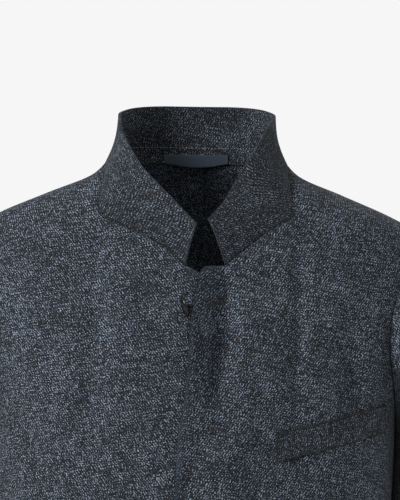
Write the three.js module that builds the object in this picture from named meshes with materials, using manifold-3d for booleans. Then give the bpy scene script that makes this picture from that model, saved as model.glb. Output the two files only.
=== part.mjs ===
import * as THREE from 'three';
import Module from 'manifold-3d';

const wasm = await Module();
wasm.setup();

// Stand collar jacket, hollow and in its worn shape, in millimetres.
// +Z is up, the front faces -Y, and the wearer's left is +X.
// The origin is the middle of the neck, at the height of the shoulders.

// Cloth and seams
const CLOTH = 2;
const COLLAR_CLOTH = 3;
const SEAM_GAP = 0.3;
const ARMHOLE_GAP = 0.6;
const ARMHOLE_TUCK = 2;

// Heights and lengths
const HEM = -700;
const UNDERARM = -230;
const SHOULDER_TIP = -56;
const NECK_POINT = 10.5;

// Front closure: the wearer's left front laps over the right one
const LAP_OVER = 22;
const LAP_UNDER = 20;
const LAP_STACK = 6.5;
const LAP_FALL = 42;
const CORNER_RADIUS = 7;
const OVER_SLOPE = 0.2;
const UNDER_SLOPE = 0.49;
const EDGE_CURL = 3.5;
const EDGE_CURL_REACH = 10;
const EDGE_CURL_TOP = -80;
const EDGE_CURL_LOW = -245;
const EDGE_CURL_FADE_IN = 25;
const EDGE_CURL_FADE_OUT = 70;
const LAP_CLEAR = 2;

// Armhole, as turns away from the side of the body
const ARMHOLE_FRONT = THREE.MathUtils.degToRad(35);
const ARMHOLE_BACK = THREE.MathUtils.degToRad(32);
const ARMHOLE_PEAK = 0.6;

// Centre back seam, which leans to one side at the neck
const BACK_SEAM_LEAN = 9;
const BACK_SEAM_STRAIGHT = -150;

// Where folds and armhole blend away
const FOLD_FADE_POWER = 0.7;
const SIDE_FADE = 4;
const ARMHOLE_FADE = 0.2;
const ARMHOLE_FADE_POWER = 1.5;

// How finely the cloth is divided
const FRONT_COLUMNS = 15;
const BACK_COLUMNS = 11;
const SKIRT_ROWS = 10;
const ARMHOLE_ROWS = 12;
const SHOULDER_ROWS = 8;
const COLLAR_ROWS = 4;

// Chest pocket welt, on the wearer's left
const WELT_INNER = { across: 78.7, height: -244.2 };
const WELT_OUTER = { across: 182, height: -218.6 };
const WELT_HEIGHT = 27;
const WELT_CLOTH = 1.6;
const WELT_REACH = 100;

// Buttons
const TOP_BUTTON = { across: -9, height: -130.7, radius: 11, thick: 2.8 };
const TOP_BUTTON_LEAN = THREE.MathUtils.degToRad(16);
const TOP_BUTTON_OPEN = THREE.MathUtils.degToRad(8);
const FLY_BUTTON = { across: 5, radius: 7.5, thick: 2.2 };
const FLY_BUTTON_HEIGHTS = [-250, -360, -470];
const BUTTON_BEVEL = 0.7;
const BUTTON_CLEARANCE = 0.6;
const HOLE_COUNT = 4;
const HOLE = { offset: 3, radius: 1 };

// Hanger loop inside the neck
const LOOP = { left: -32, right: 31, top: 19.5, low: 11, thick: 1.2, sag: 4, bow: 2.5 };
const LOOP_COLUMNS = 12;

// Cloth colours, read off the photo
const CLOTH_COLOUR = 0x3c444e;
const LOOP_COLOUR = 0x2e3841;
const HORN_COLOUR = 0x1b1917;

// Body sections: half width, depth to the front and back, and squareness
const SECTIONS = [
  { height: -700, half: 207, front: 117, back: 120, square: 2.3 },
  { height: -600, half: 203, front: 116, back: 120, square: 2.3 },
  { height: -520, half: 195, front: 114, back: 112, square: 2.35 },
  { height: -430, half: 187, front: 113, back: 98, square: 2.4 },
  { height: -330, half: 192, front: 118, back: 108, square: 2.5 },
  { height: -270, half: 194.5, front: 121, back: 117, square: 2.5 },
  { height: -230, half: 195.5, front: 121, back: 121, square: 2.5 },
  { height: -190, half: 207, front: 117.5, back: 123, square: 2.4 },
  { height: -150, half: 219, front: 111, back: 121, square: 2.25 },
  { height: -110, half: 227, front: 99, back: 112, square: 2.1 },
  { height: -75, half: 228, front: 88, back: 100, square: 2.05 },
  { height: -56, half: 218, front: 82, back: 92, square: 2 },
  { height: -40, half: 189.7, front: 75, back: 86, square: 2 },
  { height: -20, half: 143, front: 64, back: 76, square: 2 },
  { height: -1.5, half: 99.5, front: 50, back: 65, square: 2 },
  { height: 4, half: 93, front: 42, back: 60, square: 2 },
  { height: 10.5, half: 87.5, front: 34, back: 57, square: 2 },
];

// Centre front lines, which spread apart where the top button is open
const CENTRE_LINES = [
  { height: -700, under: 5, over: 5 },
  { height: -400, under: 5, over: 5 },
  { height: -310, under: 5, over: 6.7 },
  { height: -250, under: 4, over: 8.6 },
  { height: -225, under: 1.5, over: 12.9 },
  { height: -190, under: -2.5, over: 16.2 },
  { height: -168, under: -5, over: 17.8 },
  { height: -140, under: -8, over: 19.3 },
  { height: -115, under: -9, over: 24.5 },
  { height: -86, under: -9, over: 29.3 },
];

// Neck seam of each front, from the centre line to the neck point
const NECK_UNDER = [
  { across: 9, height: -88.3 },
  { across: 21, height: -77.3 },
  { across: 59, height: -56 },
  { across: 88, height: -41 },
  { across: 92, height: -34 },
  { across: 92, height: -22 },
  { across: 89.5, height: -5 },
  { across: 87.5, height: 10.5 },
];
const NECK_OVER = [
  { across: 29.3, height: -86.4 },
  { across: 49, height: -71 },
  { across: 63, height: -60 },
  { across: 80, height: -49 },
  { across: 92, height: -41 },
  { across: 92, height: -34 },
  { across: 92, height: -22 },
  { across: 89.5, height: -5 },
  { across: 87.5, height: 10.5 },
];

// Neck seam of the back, which is level
const NECK_BACK = [
  { across: 0, height: 10 },
  { across: 60, height: 10.2 },
  { across: 87.5, height: 10.5 },
];

// Top edge of the collar, from the front tip (share 0) to the centre back (share 1)
const COLLAR_BACK_EDGE = [
  { share: 0.5, across: 76.5, depth: 5, height: 56.5 },
  { share: 0.6, across: 68, depth: 23, height: 62.3 },
  { share: 0.72, across: 50, depth: 38, height: 65.8 },
  { share: 0.86, across: 24, depth: 47.5, height: 67 },
  { share: 1, across: 0, depth: 50, height: 67 },
];
const COLLAR_UNDER_EDGE = [
  { share: 0, across: -1, depth: -93, height: -48.8 },
  { share: 0.04, across: 6.5, depth: -89.5, height: -41 },
  { share: 0.077, across: 24.5, depth: -80.5, height: -22.6 },
  { share: 0.115, across: 39, depth: -71, height: -8 },
  { share: 0.154, across: 49, depth: -62, height: 2.4 },
  { share: 0.23, across: 60, depth: -47, height: 18.5 },
  { share: 0.31, across: 68.5, depth: -31, height: 32 },
  { share: 0.4, across: 75.5, depth: -13, height: 46.5 },
  ...COLLAR_BACK_EDGE,
];
const COLLAR_OVER_EDGE = [
  { share: 0, across: 12.8, depth: -97, height: -44 },
  { share: 0.04, across: 15.5, depth: -94.5, height: -40.5 },
  { share: 0.077, across: 28, depth: -85, height: -25 },
  { share: 0.115, across: 35, depth: -78, height: -12.4 },
  { share: 0.154, across: 41, depth: -71, height: -2.5 },
  { share: 0.23, across: 51.5, depth: -58, height: 14.4 },
  { share: 0.31, across: 60, depth: -44, height: 28 },
  { share: 0.4, across: 70, depth: -22, height: 46 },
  ...COLLAR_BACK_EDGE,
];
const COLLAR_BULGE = 2.5;

// Sleeve rings: their inner and outer points seen from the front, half depth, and centre depth
const SLEEVE_RINGS = [
  { share: 0, inX: 195.5, inZ: -230, outX: 218, outZ: -56, half: 64, centre: 0 },
  { share: 0.03, inX: 196.3, inZ: -233, outX: 236, outZ: -64, half: 69, centre: 0 },
  { share: 0.06, inX: 196.6, inZ: -237, outX: 251, outZ: -82, half: 73, centre: 0 },
  { share: 0.1, inX: 196.4, inZ: -242, outX: 262, outZ: -110, half: 75, centre: 3 },
  { share: 0.15, inX: 196, inZ: -250, outX: 270, outZ: -150, half: 75, centre: 8 },
  { share: 0.21, inX: 195.4, inZ: -265, outX: 276, outZ: -200, half: 74, centre: 14 },
  { share: 0.29, inX: 194.6, inZ: -292, outX: 281, outZ: -256, half: 71, centre: 18 },
  { share: 0.38, inX: 193, inZ: -335, outX: 285, outZ: -312, half: 67, centre: 18 },
  { share: 0.5, inX: 191.5, inZ: -398, outX: 291, outZ: -388, half: 62, centre: 14 },
  { share: 0.61, inX: 195, inZ: -455, outX: 295, outZ: -452, half: 58, centre: 3 },
  { share: 0.76, inX: 208, inZ: -540, outX: 299, outZ: -543, half: 54, centre: -15 },
  { share: 1, inX: 223, inZ: -664, outX: 304, outZ: -670, half: 49, centre: -46 },
];
const SLEEVE_SHARES = [
  0, 0.02, 0.045, 0.075, 0.11, 0.155, 0.21, 0.27, 0.34, 0.41, 0.48, 0.55, 0.63, 0.72, 0.81, 0.9, 1,
];
const SLEEVE_COLUMNS = 2 * ARMHOLE_ROWS;
const FRONT_SEAM_COLUMN = 4;
const BACK_SEAM_COLUMN = 19;

// Soft folds of the body: where each starts and ends, its half width, and how far it stands out
const FRONT_FOLDS = [
  { fromX: -94, fromZ: -40, toX: -98, toZ: -420, width: 24, out: -4 },
  { fromX: -160, fromZ: -200, toX: -128, toZ: -400, width: 24, out: -3 },
  { fromX: 104, fromZ: -60, toX: 102, toZ: -300, width: 22, out: -4 },
  { fromX: 150, fromZ: -110, toX: 148, toZ: -250, width: 20, out: -3 },
  { fromX: -58, fromZ: -400, toX: -74, toZ: -760, width: 26, out: -5 },
  { fromX: -128, fromZ: -420, toX: -142, toZ: -760, width: 24, out: 4.5 },
  { fromX: 74, fromZ: -390, toX: 88, toZ: -760, width: 26, out: -5 },
  { fromX: 136, fromZ: -440, toX: 150, toZ: -760, width: 22, out: 4.5 },
];
const BACK_FOLDS = [
  { fromX: -146, fromZ: -122, toX: -118, toZ: -270, width: 24, out: -4 },
  { fromX: 144, fromZ: -126, toX: 120, toZ: -262, width: 24, out: -3.5 },
  { fromX: -92, fromZ: -290, toX: -104, toZ: -560, width: 26, out: -5 },
  { fromX: 98, fromZ: -300, toX: 106, toZ: -590, width: 26, out: -5 },
  { fromX: -44, fromZ: -430, toX: -56, toZ: -760, width: 26, out: 4 },
  { fromX: 46, fromZ: -410, toX: 60, toZ: -760, width: 26, out: 4 },
];

// Soft folds of a sleeve: place along it, turn round it, reach each way, slant, and depth
const SLEEVE_FOLDS = [
  { share: 0.3, turn: 100, reach: 0.035, spread: 60, slant: 0.06, out: -2.5 },
  { share: 0.44, turn: 60, reach: 0.03, spread: 50, slant: 0.05, out: -3.5 },
  { share: 0.5, turn: 75, reach: 0.025, spread: 55, slant: 0.04, out: 2.5 },
  { share: 0.56, turn: 55, reach: 0.03, spread: 50, slant: 0.03, out: -4 },
  { share: 0.66, turn: 85, reach: 0.035, spread: 60, slant: 0.05, out: -2.5 },
  { share: 0.53, turn: 265, reach: 0.05, spread: 45, slant: -0.04, out: 2.5 },
  { share: 0.8, turn: 250, reach: 0.05, spread: 60, slant: -0.06, out: -2.5 },
];

const HALF_TURN = Math.PI;
const QUARTER_TURN = Math.PI / 2;
const radians = THREE.MathUtils.degToRad;
const lerp = THREE.MathUtils.lerp;
const smooth = THREE.MathUtils.smoothstep;

// A smooth line through a table's rows, read at a value of its key column
function tableCurve(rows, key, column) {
  const at = rows.map((row) => row[key]);
  const value = rows.map((row) => row[column]);
  const rise = at.slice(1).map((end, i) => (value[i + 1] - value[i]) / (end - at[i]));
  const slope = at.map((_, i) => {
    if (i === 0) return rise[0];
    if (i === at.length - 1) return rise[i - 1];
    if (rise[i - 1] * rise[i] <= 0) return 0;
    const before = at[i] - at[i - 1];
    const after = at[i + 1] - at[i];
    const even = (rise[i - 1] * after + rise[i] * before) / (before + after);
    const steepest = 2 * Math.min(Math.abs(rise[i - 1]), Math.abs(rise[i]));
    return Math.sign(even) * Math.min(Math.abs(even), steepest);
  });
  return (wanted) => {
    if (wanted <= at[0]) return value[0];
    if (wanted >= at[at.length - 1]) return value[at.length - 1];
    const i = at.findIndex((end, k) => k > 0 && wanted <= end) - 1;
    const span = at[i + 1] - at[i];
    const t = (wanted - at[i]) / span;
    const bend = value[i + 1] - value[i];
    const start = slope[i] * span - bend;
    const end = bend - slope[i + 1] * span;
    return value[i] + t * bend + t * (1 - t) * (start * (1 - t) + end * t);
  };
}

const halfWidth = tableCurve(SECTIONS, 'height', 'half');
const frontDepth = tableCurve(SECTIONS, 'height', 'front');
const backDepth = tableCurve(SECTIONS, 'height', 'back');
const squareness = tableCurve(SECTIONS, 'height', 'square');
const underCentre = tableCurve(CENTRE_LINES, 'height', 'under');
const overCentre = tableCurve(CENTRE_LINES, 'height', 'over');

// A point of the plain body, by its turn from the front and its height
function bodyPoint(side, turn, height) {
  const power = squareness(height);
  const across = Math.sin(turn);
  const ahead = Math.cos(turn);
  const scale = (Math.abs(across) ** power + Math.abs(ahead) ** power) ** (-1 / power);
  const depth = ahead > 0 ? frontDepth(height) : backDepth(height);
  return new THREE.Vector3(side * halfWidth(height) * scale * across, -depth * scale * ahead, height);
}

// The turn at which the body's front or back reaches a distance from the middle
function turnAt(across, height, isBack) {
  const power = squareness(height);
  const share = across / halfWidth(height);
  const rest = (1 - Math.min(1, Math.abs(share)) ** power) ** (1 / power);
  const turn = Math.atan2(share, rest);
  return isBack ? HALF_TURN - turn : turn;
}

function bodyNormal(side, turn, height) {
  const step = 0.01;
  const reach = 0.5;
  const around = bodyPoint(side, turn + step, height).sub(bodyPoint(side, turn - step, height));
  const up = bodyPoint(side, turn, height + reach).sub(bodyPoint(side, turn, height - reach));
  return around.cross(up).multiplyScalar(side).normalize();
}

// How far the soft folds lift or sink the cloth at a point
function foldLift(folds, x, z) {
  let lift = 0;
  for (const fold of folds) {
    const along = (z - fold.fromZ) / (fold.toZ - fold.fromZ);
    if (along <= 0 || along >= 1) continue;
    const offset = (x - lerp(fold.fromX, fold.toX, along)) / fold.width;
    const fade = Math.sin(HALF_TURN * along) ** FOLD_FADE_POWER;
    lift += fold.out * fade * Math.exp(-offset * offset);
  }
  return lift;
}

// How far the overlapping front stands off, over the layer under it
function lapLift(x, z) {
  const underEdge = underCentre(z) + LAP_UNDER;
  const overEdge = overCentre(z) - LAP_OVER;
  const fallsFrom = underEdge + LAP_CLEAR;
  const stack = LAP_STACK * (1 - smooth(x, fallsFrom, fallsFrom + LAP_FALL));
  const curlTop = smooth(EDGE_CURL_TOP - z, -EDGE_CURL_REACH, EDGE_CURL_FADE_IN);
  const curlLow = 1 - smooth(EDGE_CURL_LOW - z, -EDGE_CURL_FADE_OUT, 0);
  const curl = EDGE_CURL * Math.exp(-Math.max(0, x - overEdge) / EDGE_CURL_REACH);
  return stack + curl * curlTop * curlLow;
}

// Cloth on the body: its outer point and the way that it faces
function bodyCloth(side, turn, height, lift) {
  const point = bodyPoint(side, turn, height);
  const normal = bodyNormal(side, turn, height);
  const folds = Math.cos(turn) > 0 ? FRONT_FOLDS : BACK_FOLDS;
  const fadeAtSide = Math.min(1, Math.abs(Math.cos(turn)) * SIDE_FADE);
  const out = foldLift(folds, point.x, point.z) * fadeAtSide + (lift ? lift(point.x, point.z) : 0);
  return { point: point.addScaledVector(normal, out), normal };
}

// The side seam, armhole and shoulder seam, from the hem up to the neck point
function sideEdge(isBack) {
  const edge = [];
  for (let row = 0; row < SKIRT_ROWS; row += 1) {
    edge.push({ turn: QUARTER_TURN, height: lerp(HEM, UNDERARM, row / SKIRT_ROWS) });
  }
  for (let row = 0; row < ARMHOLE_ROWS; row += 1) {
    edge.push(armholePlace(HALF_TURN * row / ARMHOLE_ROWS, isBack));
  }
  for (let row = 0; row <= SHOULDER_ROWS; row += 1) {
    edge.push({ turn: QUARTER_TURN, height: lerp(SHOULDER_TIP, NECK_POINT, row / SHOULDER_ROWS) });
  }
  return edge;
}

// A place on the armhole, by the turn round it from the underarm to the shoulder tip
function armholePlace(round, isBack) {
  const reach = isBack ? -ARMHOLE_BACK : ARMHOLE_FRONT;
  const peak = ARMHOLE_PEAK * smooth(round, QUARTER_TURN, HALF_TURN);
  const climb = lerp((1 - Math.cos(round)) / 2, round / HALF_TURN, peak);
  return {
    turn: QUARTER_TURN - reach * Math.sin(round),
    height: lerp(UNDERARM, SHOULDER_TIP, climb),
  };
}

// Distance that a lap's top edge drops below its neck seam, with a rounded corner
function lapDrop(beyond, lap, slope) {
  const round = Math.max(0, beyond - (lap - CORNER_RADIUS));
  return slope * beyond + CORNER_RADIUS - Math.sqrt(CORNER_RADIUS ** 2 - round ** 2);
}

// One body panel as rows of outer points, from the hem up and from its centre edge to its side
function bodyPanel({ side, isBack, columns, neck, centre, lift, lap, slope }) {
  const neckTurns = neck.map((row) => ({
    turn: turnAt(row.across, row.height, isBack),
    height: row.height,
  }));
  if (isBack) neckTurns.reverse();
  const neckHeight = tableCurve(neckTurns, 'turn', 'height');
  const centreTop = neck[0];
  const firstTurn = turnAt(centreTop.across, centreTop.height, isBack);
  const beyonds = lap ? [lap, lap - 1.5, lap - 5, lap / 2] : [];
  const edge = sideEdge(isBack);
  const bend = edge.length - 1 - SKIRT_ROWS;
  const rows = edge.map((end, row) => {
    const climb = Math.max(0, row - SKIRT_ROWS) / bend;
    const start = climb > 0 ? lerp(UNDERARM, centreTop.height, climb) : end.height;
    const lapPoints = beyonds.map((beyond) => {
      const height = start - lapDrop(beyond, lap, slope) * climb ** 2;
      const turn = turnAt(centre(height) - beyond, height, isBack);
      return bodyCloth(side, turn, height, lift);
    });
    const startTurn = row === edge.length - 1 ? firstTurn : turnAt(centre(start), start, isBack);
    const points = [];
    for (let column = 0; column <= columns; column += 1) {
      const share = column / columns;
      const neckTurn = lerp(firstTurn, QUARTER_TURN, share);
      const rise = (neckHeight(neckTurn) - centreTop.height) / (NECK_POINT - centreTop.height);
      const height = start + (end.height - start) * rise;
      points.push(bodyCloth(side, lerp(startTurn, end.turn, share), height, lift));
    }
    return [...lapPoints, ...points];
  });
  return {
    outer: rows.map((row) => row.map((place) => place.point)),
    inner: rows.map((row) => row.map((place) => place.point.clone().addScaledVector(place.normal, -CLOTH))),
    lapColumns: beyonds.length,
  };
}

// Pull the named edges of a sheet of points in by half of a seam's gap
function insetEdges(sheet, edges, gap = SEAM_GAP / 2) {
  const last = sheet.length - 1;
  const end = sheet[0].length - 1;
  const pulled = sheet.map((row) => row.map((point) => point.clone()));
  const pull = (row, column, toRow, toColumn) => {
    const way = sheet[toRow][toColumn].clone().sub(sheet[row][column]).normalize();
    pulled[row][column].addScaledVector(way, gap);
  };
  if (edges.includes('top')) sheet[0].forEach((_, column) => pull(last, column, last - 1, column));
  if (edges.includes('low')) sheet[0].forEach((_, column) => pull(0, column, 1, column));
  if (edges.includes('start')) sheet.forEach((_, row) => pull(row, 0, row, 1));
  if (edges.includes('end')) sheet.forEach((_, row) => pull(row, end, row, end - 1));
  return pulled;
}

// The way that each point of a sheet faces: columns run to its right and rows run up
function sheetNormals(sheet, isRing = false) {
  const last = sheet.length - 1;
  const count = sheet[0].length;
  const step = (column, by) => {
    const next = column + by;
    if (isRing) return (next + count) % count;
    return Math.min(count - 1, Math.max(0, next));
  };
  return sheet.map((row, r) => row.map((_, c) => {
    const across = row[step(c, 1)].clone().sub(row[step(c, -1)]);
    const up = sheet[Math.min(last, r + 1)][c].clone().sub(sheet[Math.max(0, r - 1)][c]);
    return across.cross(up).normalize();
  }));
}

// A closed wall between an outer and an inner sheet of points
function wallGeometry(outer, inner) {
  const rows = outer.length;
  const columns = outer[0].length;
  const places = [outer, inner].flat(2).flatMap((point) => [point.x, point.y, point.z]);
  const out = (row, column) => row * columns + column;
  const under = (row, column) => rows * columns + out(row, column);
  const faces = [];
  const quad = (a, b, c, d) => faces.push(a, b, c, a, c, d);
  for (let r = 0; r < rows - 1; r += 1) {
    for (let c = 0; c < columns - 1; c += 1) {
      quad(out(r, c), out(r, c + 1), out(r + 1, c + 1), out(r + 1, c));
      quad(under(r, c), under(r + 1, c), under(r + 1, c + 1), under(r, c + 1));
    }
    const end = columns - 1;
    quad(out(r, 0), out(r + 1, 0), under(r + 1, 0), under(r, 0));
    quad(out(r + 1, end), out(r, end), under(r, end), under(r + 1, end));
  }
  for (let c = 0; c < columns - 1; c += 1) {
    const top = rows - 1;
    quad(out(0, c + 1), out(0, c), under(0, c), under(0, c + 1));
    quad(out(top, c), out(top, c + 1), under(top, c + 1), under(top, c));
  }
  const geometry = new THREE.BufferGeometry();
  geometry.setAttribute('position', new THREE.Float32BufferAttribute(places, 3));
  geometry.setIndex(signedVolume(places, faces) < 0 ? faces.reverse() : faces);
  geometry.computeVertexNormals();
  return geometry;
}

function signedVolume(places, faces) {
  let volume = 0;
  const corner = (index) => new THREE.Vector3(...places.slice(3 * index, 3 * index + 3));
  for (let i = 0; i < faces.length; i += 3) {
    const [a, b, c] = [corner(faces[i]), corner(faces[i + 1]), corner(faces[i + 2])];
    volume += a.dot(b.cross(c)) / 6;
  }
  return volume;
}

const clothMaterial = new THREE.MeshStandardMaterial({ color: CLOTH_COLOUR, roughness: 0.95, metalness: 0 });
const loopMaterial = new THREE.MeshStandardMaterial({ color: LOOP_COLOUR, roughness: 0.45, metalness: 0 });
const hornMaterial = new THREE.MeshStandardMaterial({ color: HORN_COLOUR, roughness: 0.25, metalness: 0 });
const jacket = new THREE.Group();

function addPiece(name, geometry, material) {
  const mesh = new THREE.Mesh(geometry, material.clone());
  mesh.name = name;
  jacket.add(mesh);
  return mesh;
}

// Body: two fronts and two backs
const backSeam = (height) => BACK_SEAM_LEAN * smooth(height, BACK_SEAM_STRAIGHT, NECK_POINT);
const backNeck = (side) => NECK_BACK.map((row, i) => (
  i === 0 ? { across: side * backSeam(row.height), height: row.height } : row
));

const panels = {
  front_right: bodyPanel({
    side: -1, isBack: false, columns: FRONT_COLUMNS, neck: NECK_UNDER,
    centre: (height) => -underCentre(height), lap: LAP_UNDER, slope: UNDER_SLOPE,
  }),
  front_left: bodyPanel({
    side: 1, isBack: false, columns: FRONT_COLUMNS, neck: NECK_OVER,
    centre: overCentre, lift: lapLift, lap: LAP_OVER, slope: OVER_SLOPE,
  }),
  back_right: bodyPanel({
    side: -1, isBack: true, columns: BACK_COLUMNS, neck: backNeck(-1),
    centre: (height) => -backSeam(height),
  }),
  back_left: bodyPanel({
    side: 1, isBack: true, columns: BACK_COLUMNS, neck: backNeck(1), centre: backSeam,
  }),
};
for (const [name, panel] of Object.entries(panels)) {
  const edges = name.startsWith('back') ? ['top', 'start', 'end'] : ['top', 'end'];
  panel.shownOuter = insetEdges(panel.outer, edges);
  panel.shownInner = insetEdges(panel.inner, edges);
  addPiece(name, wallGeometry(panel.shownOuter, panel.shownInner), clothMaterial);
}

// Collar: one band that stands on the neck seam, all the way round
function collarSheets() {
  const topOf = (panel) => panel.outer[panel.outer.length - 1].slice(panel.lapColumns);
  const halves = [
    { side: -1, edge: COLLAR_UNDER_EDGE, front: topOf(panels.front_right), back: topOf(panels.back_right) },
    { side: 1, edge: COLLAR_OVER_EDGE, front: topOf(panels.front_left), back: topOf(panels.back_left) },
  ];
  const [right, left] = halves.map(({ side, edge, front, back }) => {
    const read = ['across', 'depth', 'height'].map((column) => tableCurve(edge, 'share', column));
    const shares = [
      ...front.map((_, i) => 0.5 * i / FRONT_COLUMNS),
      ...back.slice(1).map((_, i) => 0.5 + 0.5 * (i + 1) / BACK_COLUMNS),
    ];
    const base = [...front, ...back.slice(0, -1).reverse()];
    return shares.map((share, i) => {
      const [across, depth, height] = read.map((at) => at(share));
      return { base: base[i], top: new THREE.Vector3(side * across, depth, height) };
    });
  });
  const round = [...left, ...right.slice(0, -1).reverse()];
  const straight = [];
  for (let row = 0; row <= COLLAR_ROWS; row += 1) {
    straight.push(round.map(({ base, top }) => base.clone().lerp(top, row / COLLAR_ROWS)));
  }
  const straightNormals = sheetNormals(straight);
  const outer = straight.map((points, row) => points.map((point, column) => {
    const bulge = COLLAR_BULGE * Math.sin(HALF_TURN * row / COLLAR_ROWS);
    return point.clone().addScaledVector(straightNormals[row][column], bulge);
  }));
  const normals = sheetNormals(outer);
  const inner = outer.map((points, row) => points.map((point, column) => (
    point.clone().addScaledVector(normals[row][column], -COLLAR_CLOTH)
  )));
  return { outer: insetEdges(outer, ['low']), inner: insetEdges(inner, ['low']) };
}
const collar = collarSheets();
addPiece('stand_collar', wallGeometry(collar.outer, collar.inner), clothMaterial);

// Sleeves: a top sleeve and an under sleeve, joined at a front and a back seam
const ring = Object.fromEntries(
  ['inX', 'inZ', 'outX', 'outZ', 'half', 'centre'].map((column) => (
    [column, tableCurve(SLEEVE_RINGS, 'share', column)]
  )),
);

// A point of a plain oval ring, by the turn round it from the underarm to the front
function ringPoint(share, round) {
  const low = new THREE.Vector3(ring.inX(share), ring.centre(share), ring.inZ(share));
  const high = new THREE.Vector3(ring.outX(share), ring.centre(share), ring.outZ(share));
  const point = low.lerp(high, (1 - Math.cos(round)) / 2);
  point.y -= ring.half(share) * Math.sin(round);
  return point;
}

// The body's armhole seam, with the body's side turned to +X
function armholePoint(side, round) {
  const isBack = round > HALF_TURN;
  const place = armholePlace(isBack ? 2 * HALF_TURN - round : round, isBack);
  const { point } = bodyCloth(side, place.turn, place.height);
  return new THREE.Vector3(side * point.x + ARMHOLE_GAP, point.y, point.z);
}

function sleeveFoldLift(share, round) {
  let lift = 0;
  for (const fold of SLEEVE_FOLDS) {
    const turn = (round - radians(fold.turn)) / radians(fold.spread);
    const along = (share - fold.share - fold.slant * turn) / fold.reach;
    lift += fold.out * Math.exp(-turn * turn - along * along);
  }
  return lift;
}

function sleeveSheets(side) {
  const rounds = Array.from({ length: SLEEVE_COLUMNS }, (_, i) => 2 * HALF_TURN * i / SLEEVE_COLUMNS);
  const plain = SLEEVE_SHARES.map((share) => rounds.map((round) => {
    const saddle = armholePoint(side, round).sub(ringPoint(0, round));
    const keep = (1 - smooth(share, 0, ARMHOLE_FADE)) ** ARMHOLE_FADE_POWER;
    return ringPoint(share, round).addScaledVector(saddle, keep);
  }));
  const faces = sheetNormals(plain, true);
  const outer = plain.map((row, r) => row.map((point, c) => (
    point.clone().addScaledVector(faces[r][c], -sleeveFoldLift(SLEEVE_SHARES[r], rounds[c]))
  )));
  const normals = sheetNormals(outer, true);
  const inner = outer.map((row, r) => row.map((point, c) => (
    point.clone().addScaledVector(normals[r][c], CLOTH)
  )));
  inner[0].forEach((point) => { point.x += ARMHOLE_TUCK; });
  const mirror = (sheet) => sheet.map((row) => row.map((point) => (
    new THREE.Vector3(side * point.x, point.y, point.z)
  )));
  return { outer: mirror(outer), inner: mirror(inner) };
}

function sleevePiece(sheets, firstColumn, lastColumn) {
  const cut = (sheet) => sheet.map((row) => {
    const points = [];
    for (let column = firstColumn; column <= lastColumn; column += 1) {
      points.push(row[(column + SLEEVE_COLUMNS) % SLEEVE_COLUMNS]);
    }
    return points;
  });
  const edges = ['start', 'end'];
  return wallGeometry(insetEdges(cut(sheets.outer), edges), insetEdges(cut(sheets.inner), edges));
}

for (const [side, name] of [[1, 'left'], [-1, 'right']]) {
  const sheets = sleeveSheets(side);
  addPiece(`top_sleeve_${name}`, sleevePiece(sheets, FRONT_SEAM_COLUMN, BACK_SEAM_COLUMN), clothMaterial);
  const underStart = BACK_SEAM_COLUMN - SLEEVE_COLUMNS;
  addPiece(`under_sleeve_${name}`, sleevePiece(sheets, underStart, FRONT_SEAM_COLUMN), clothMaterial);
}

function toSolid(geometry) {
  const places = geometry.getAttribute('position').array;
  const faces = Uint32Array.from(geometry.getIndex().array);
  return new wasm.Manifold(new wasm.Mesh({
    numProp: 3,
    vertProperties: Float32Array.from(places),
    triVerts: faces,
  }));
}

function toGeometry(solid) {
  const mesh = solid.getMesh();
  const geometry = new THREE.BufferGeometry();
  geometry.setAttribute('position', new THREE.BufferAttribute(mesh.vertProperties, 3));
  geometry.setIndex(new THREE.BufferAttribute(mesh.triVerts, 1));
  geometry.computeVertexNormals();
  return geometry;
}

// Chest pocket welt: the front's own facets moved out, within the welt's slanted outline
function weltGeometry() {
  const sheet = panels.front_left.shownOuter;
  const normals = sheetNormals(sheet);
  const layer = (out) => sheet.map((row, r) => row.map((point, c) => (
    point.clone().addScaledVector(normals[r][c], out)
  )));
  const skin = toSolid(wallGeometry(layer(SEAM_GAP + WELT_CLOTH), layer(SEAM_GAP)));
  const ends = [WELT_INNER, WELT_OUTER];
  const outline = (y) => [WELT_HEIGHT, 0].map((drop) => (
    ends.map((end) => new THREE.Vector3(end.across, y, end.height - drop))
  ));
  const prism = toSolid(wallGeometry(outline(-2 * WELT_REACH), outline(-WELT_REACH / 2)));
  return toGeometry(skin.intersect(prism));
}
addPiece('chest_pocket_welt', weltGeometry(), clothMaterial);

// Hanger loop: a plain strip whose ends lie on the collar and whose middle bows away
function loopGeometry() {
  const walls = collar.inner.slice(0, 3).map((row) => {
    const inside = row.filter((point) => point.y > 0).reverse();
    return { depth: tableCurve(inside, 'x', 'y'), height: tableCurve(inside, 'x', 'z') };
  });
  const wallDepth = (x, z) => {
    const upper = z > walls[1].height(x) ? 2 : 1;
    const [low, high] = [walls[upper - 1], walls[upper]];
    const share = (z - low.height(x)) / (high.height(x) - low.height(x));
    return lerp(low.depth(x), high.depth(x), share);
  };
  const levels = [LOOP.low, (LOOP.low + LOOP.top) / 2, LOOP.top];
  const layer = (out) => levels.map((height, row) => (
    Array.from({ length: LOOP_COLUMNS + 1 }, (_, i) => {
      const across = lerp(LOOP.left, LOOP.right, i / LOOP_COLUMNS);
      const hang = Math.sin(HALF_TURN * i / LOOP_COLUMNS);
      const depth = wallDepth(across, height) - SEAM_GAP - LOOP.bow * hang - out;
      return new THREE.Vector3(across, depth, height - LOOP.sag * hang * (1 - row / 2));
    })
  ));
  return wallGeometry(layer(LOOP.thick), layer(0));
}
addPiece('hanger_loop', loopGeometry(), loopMaterial);

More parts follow.
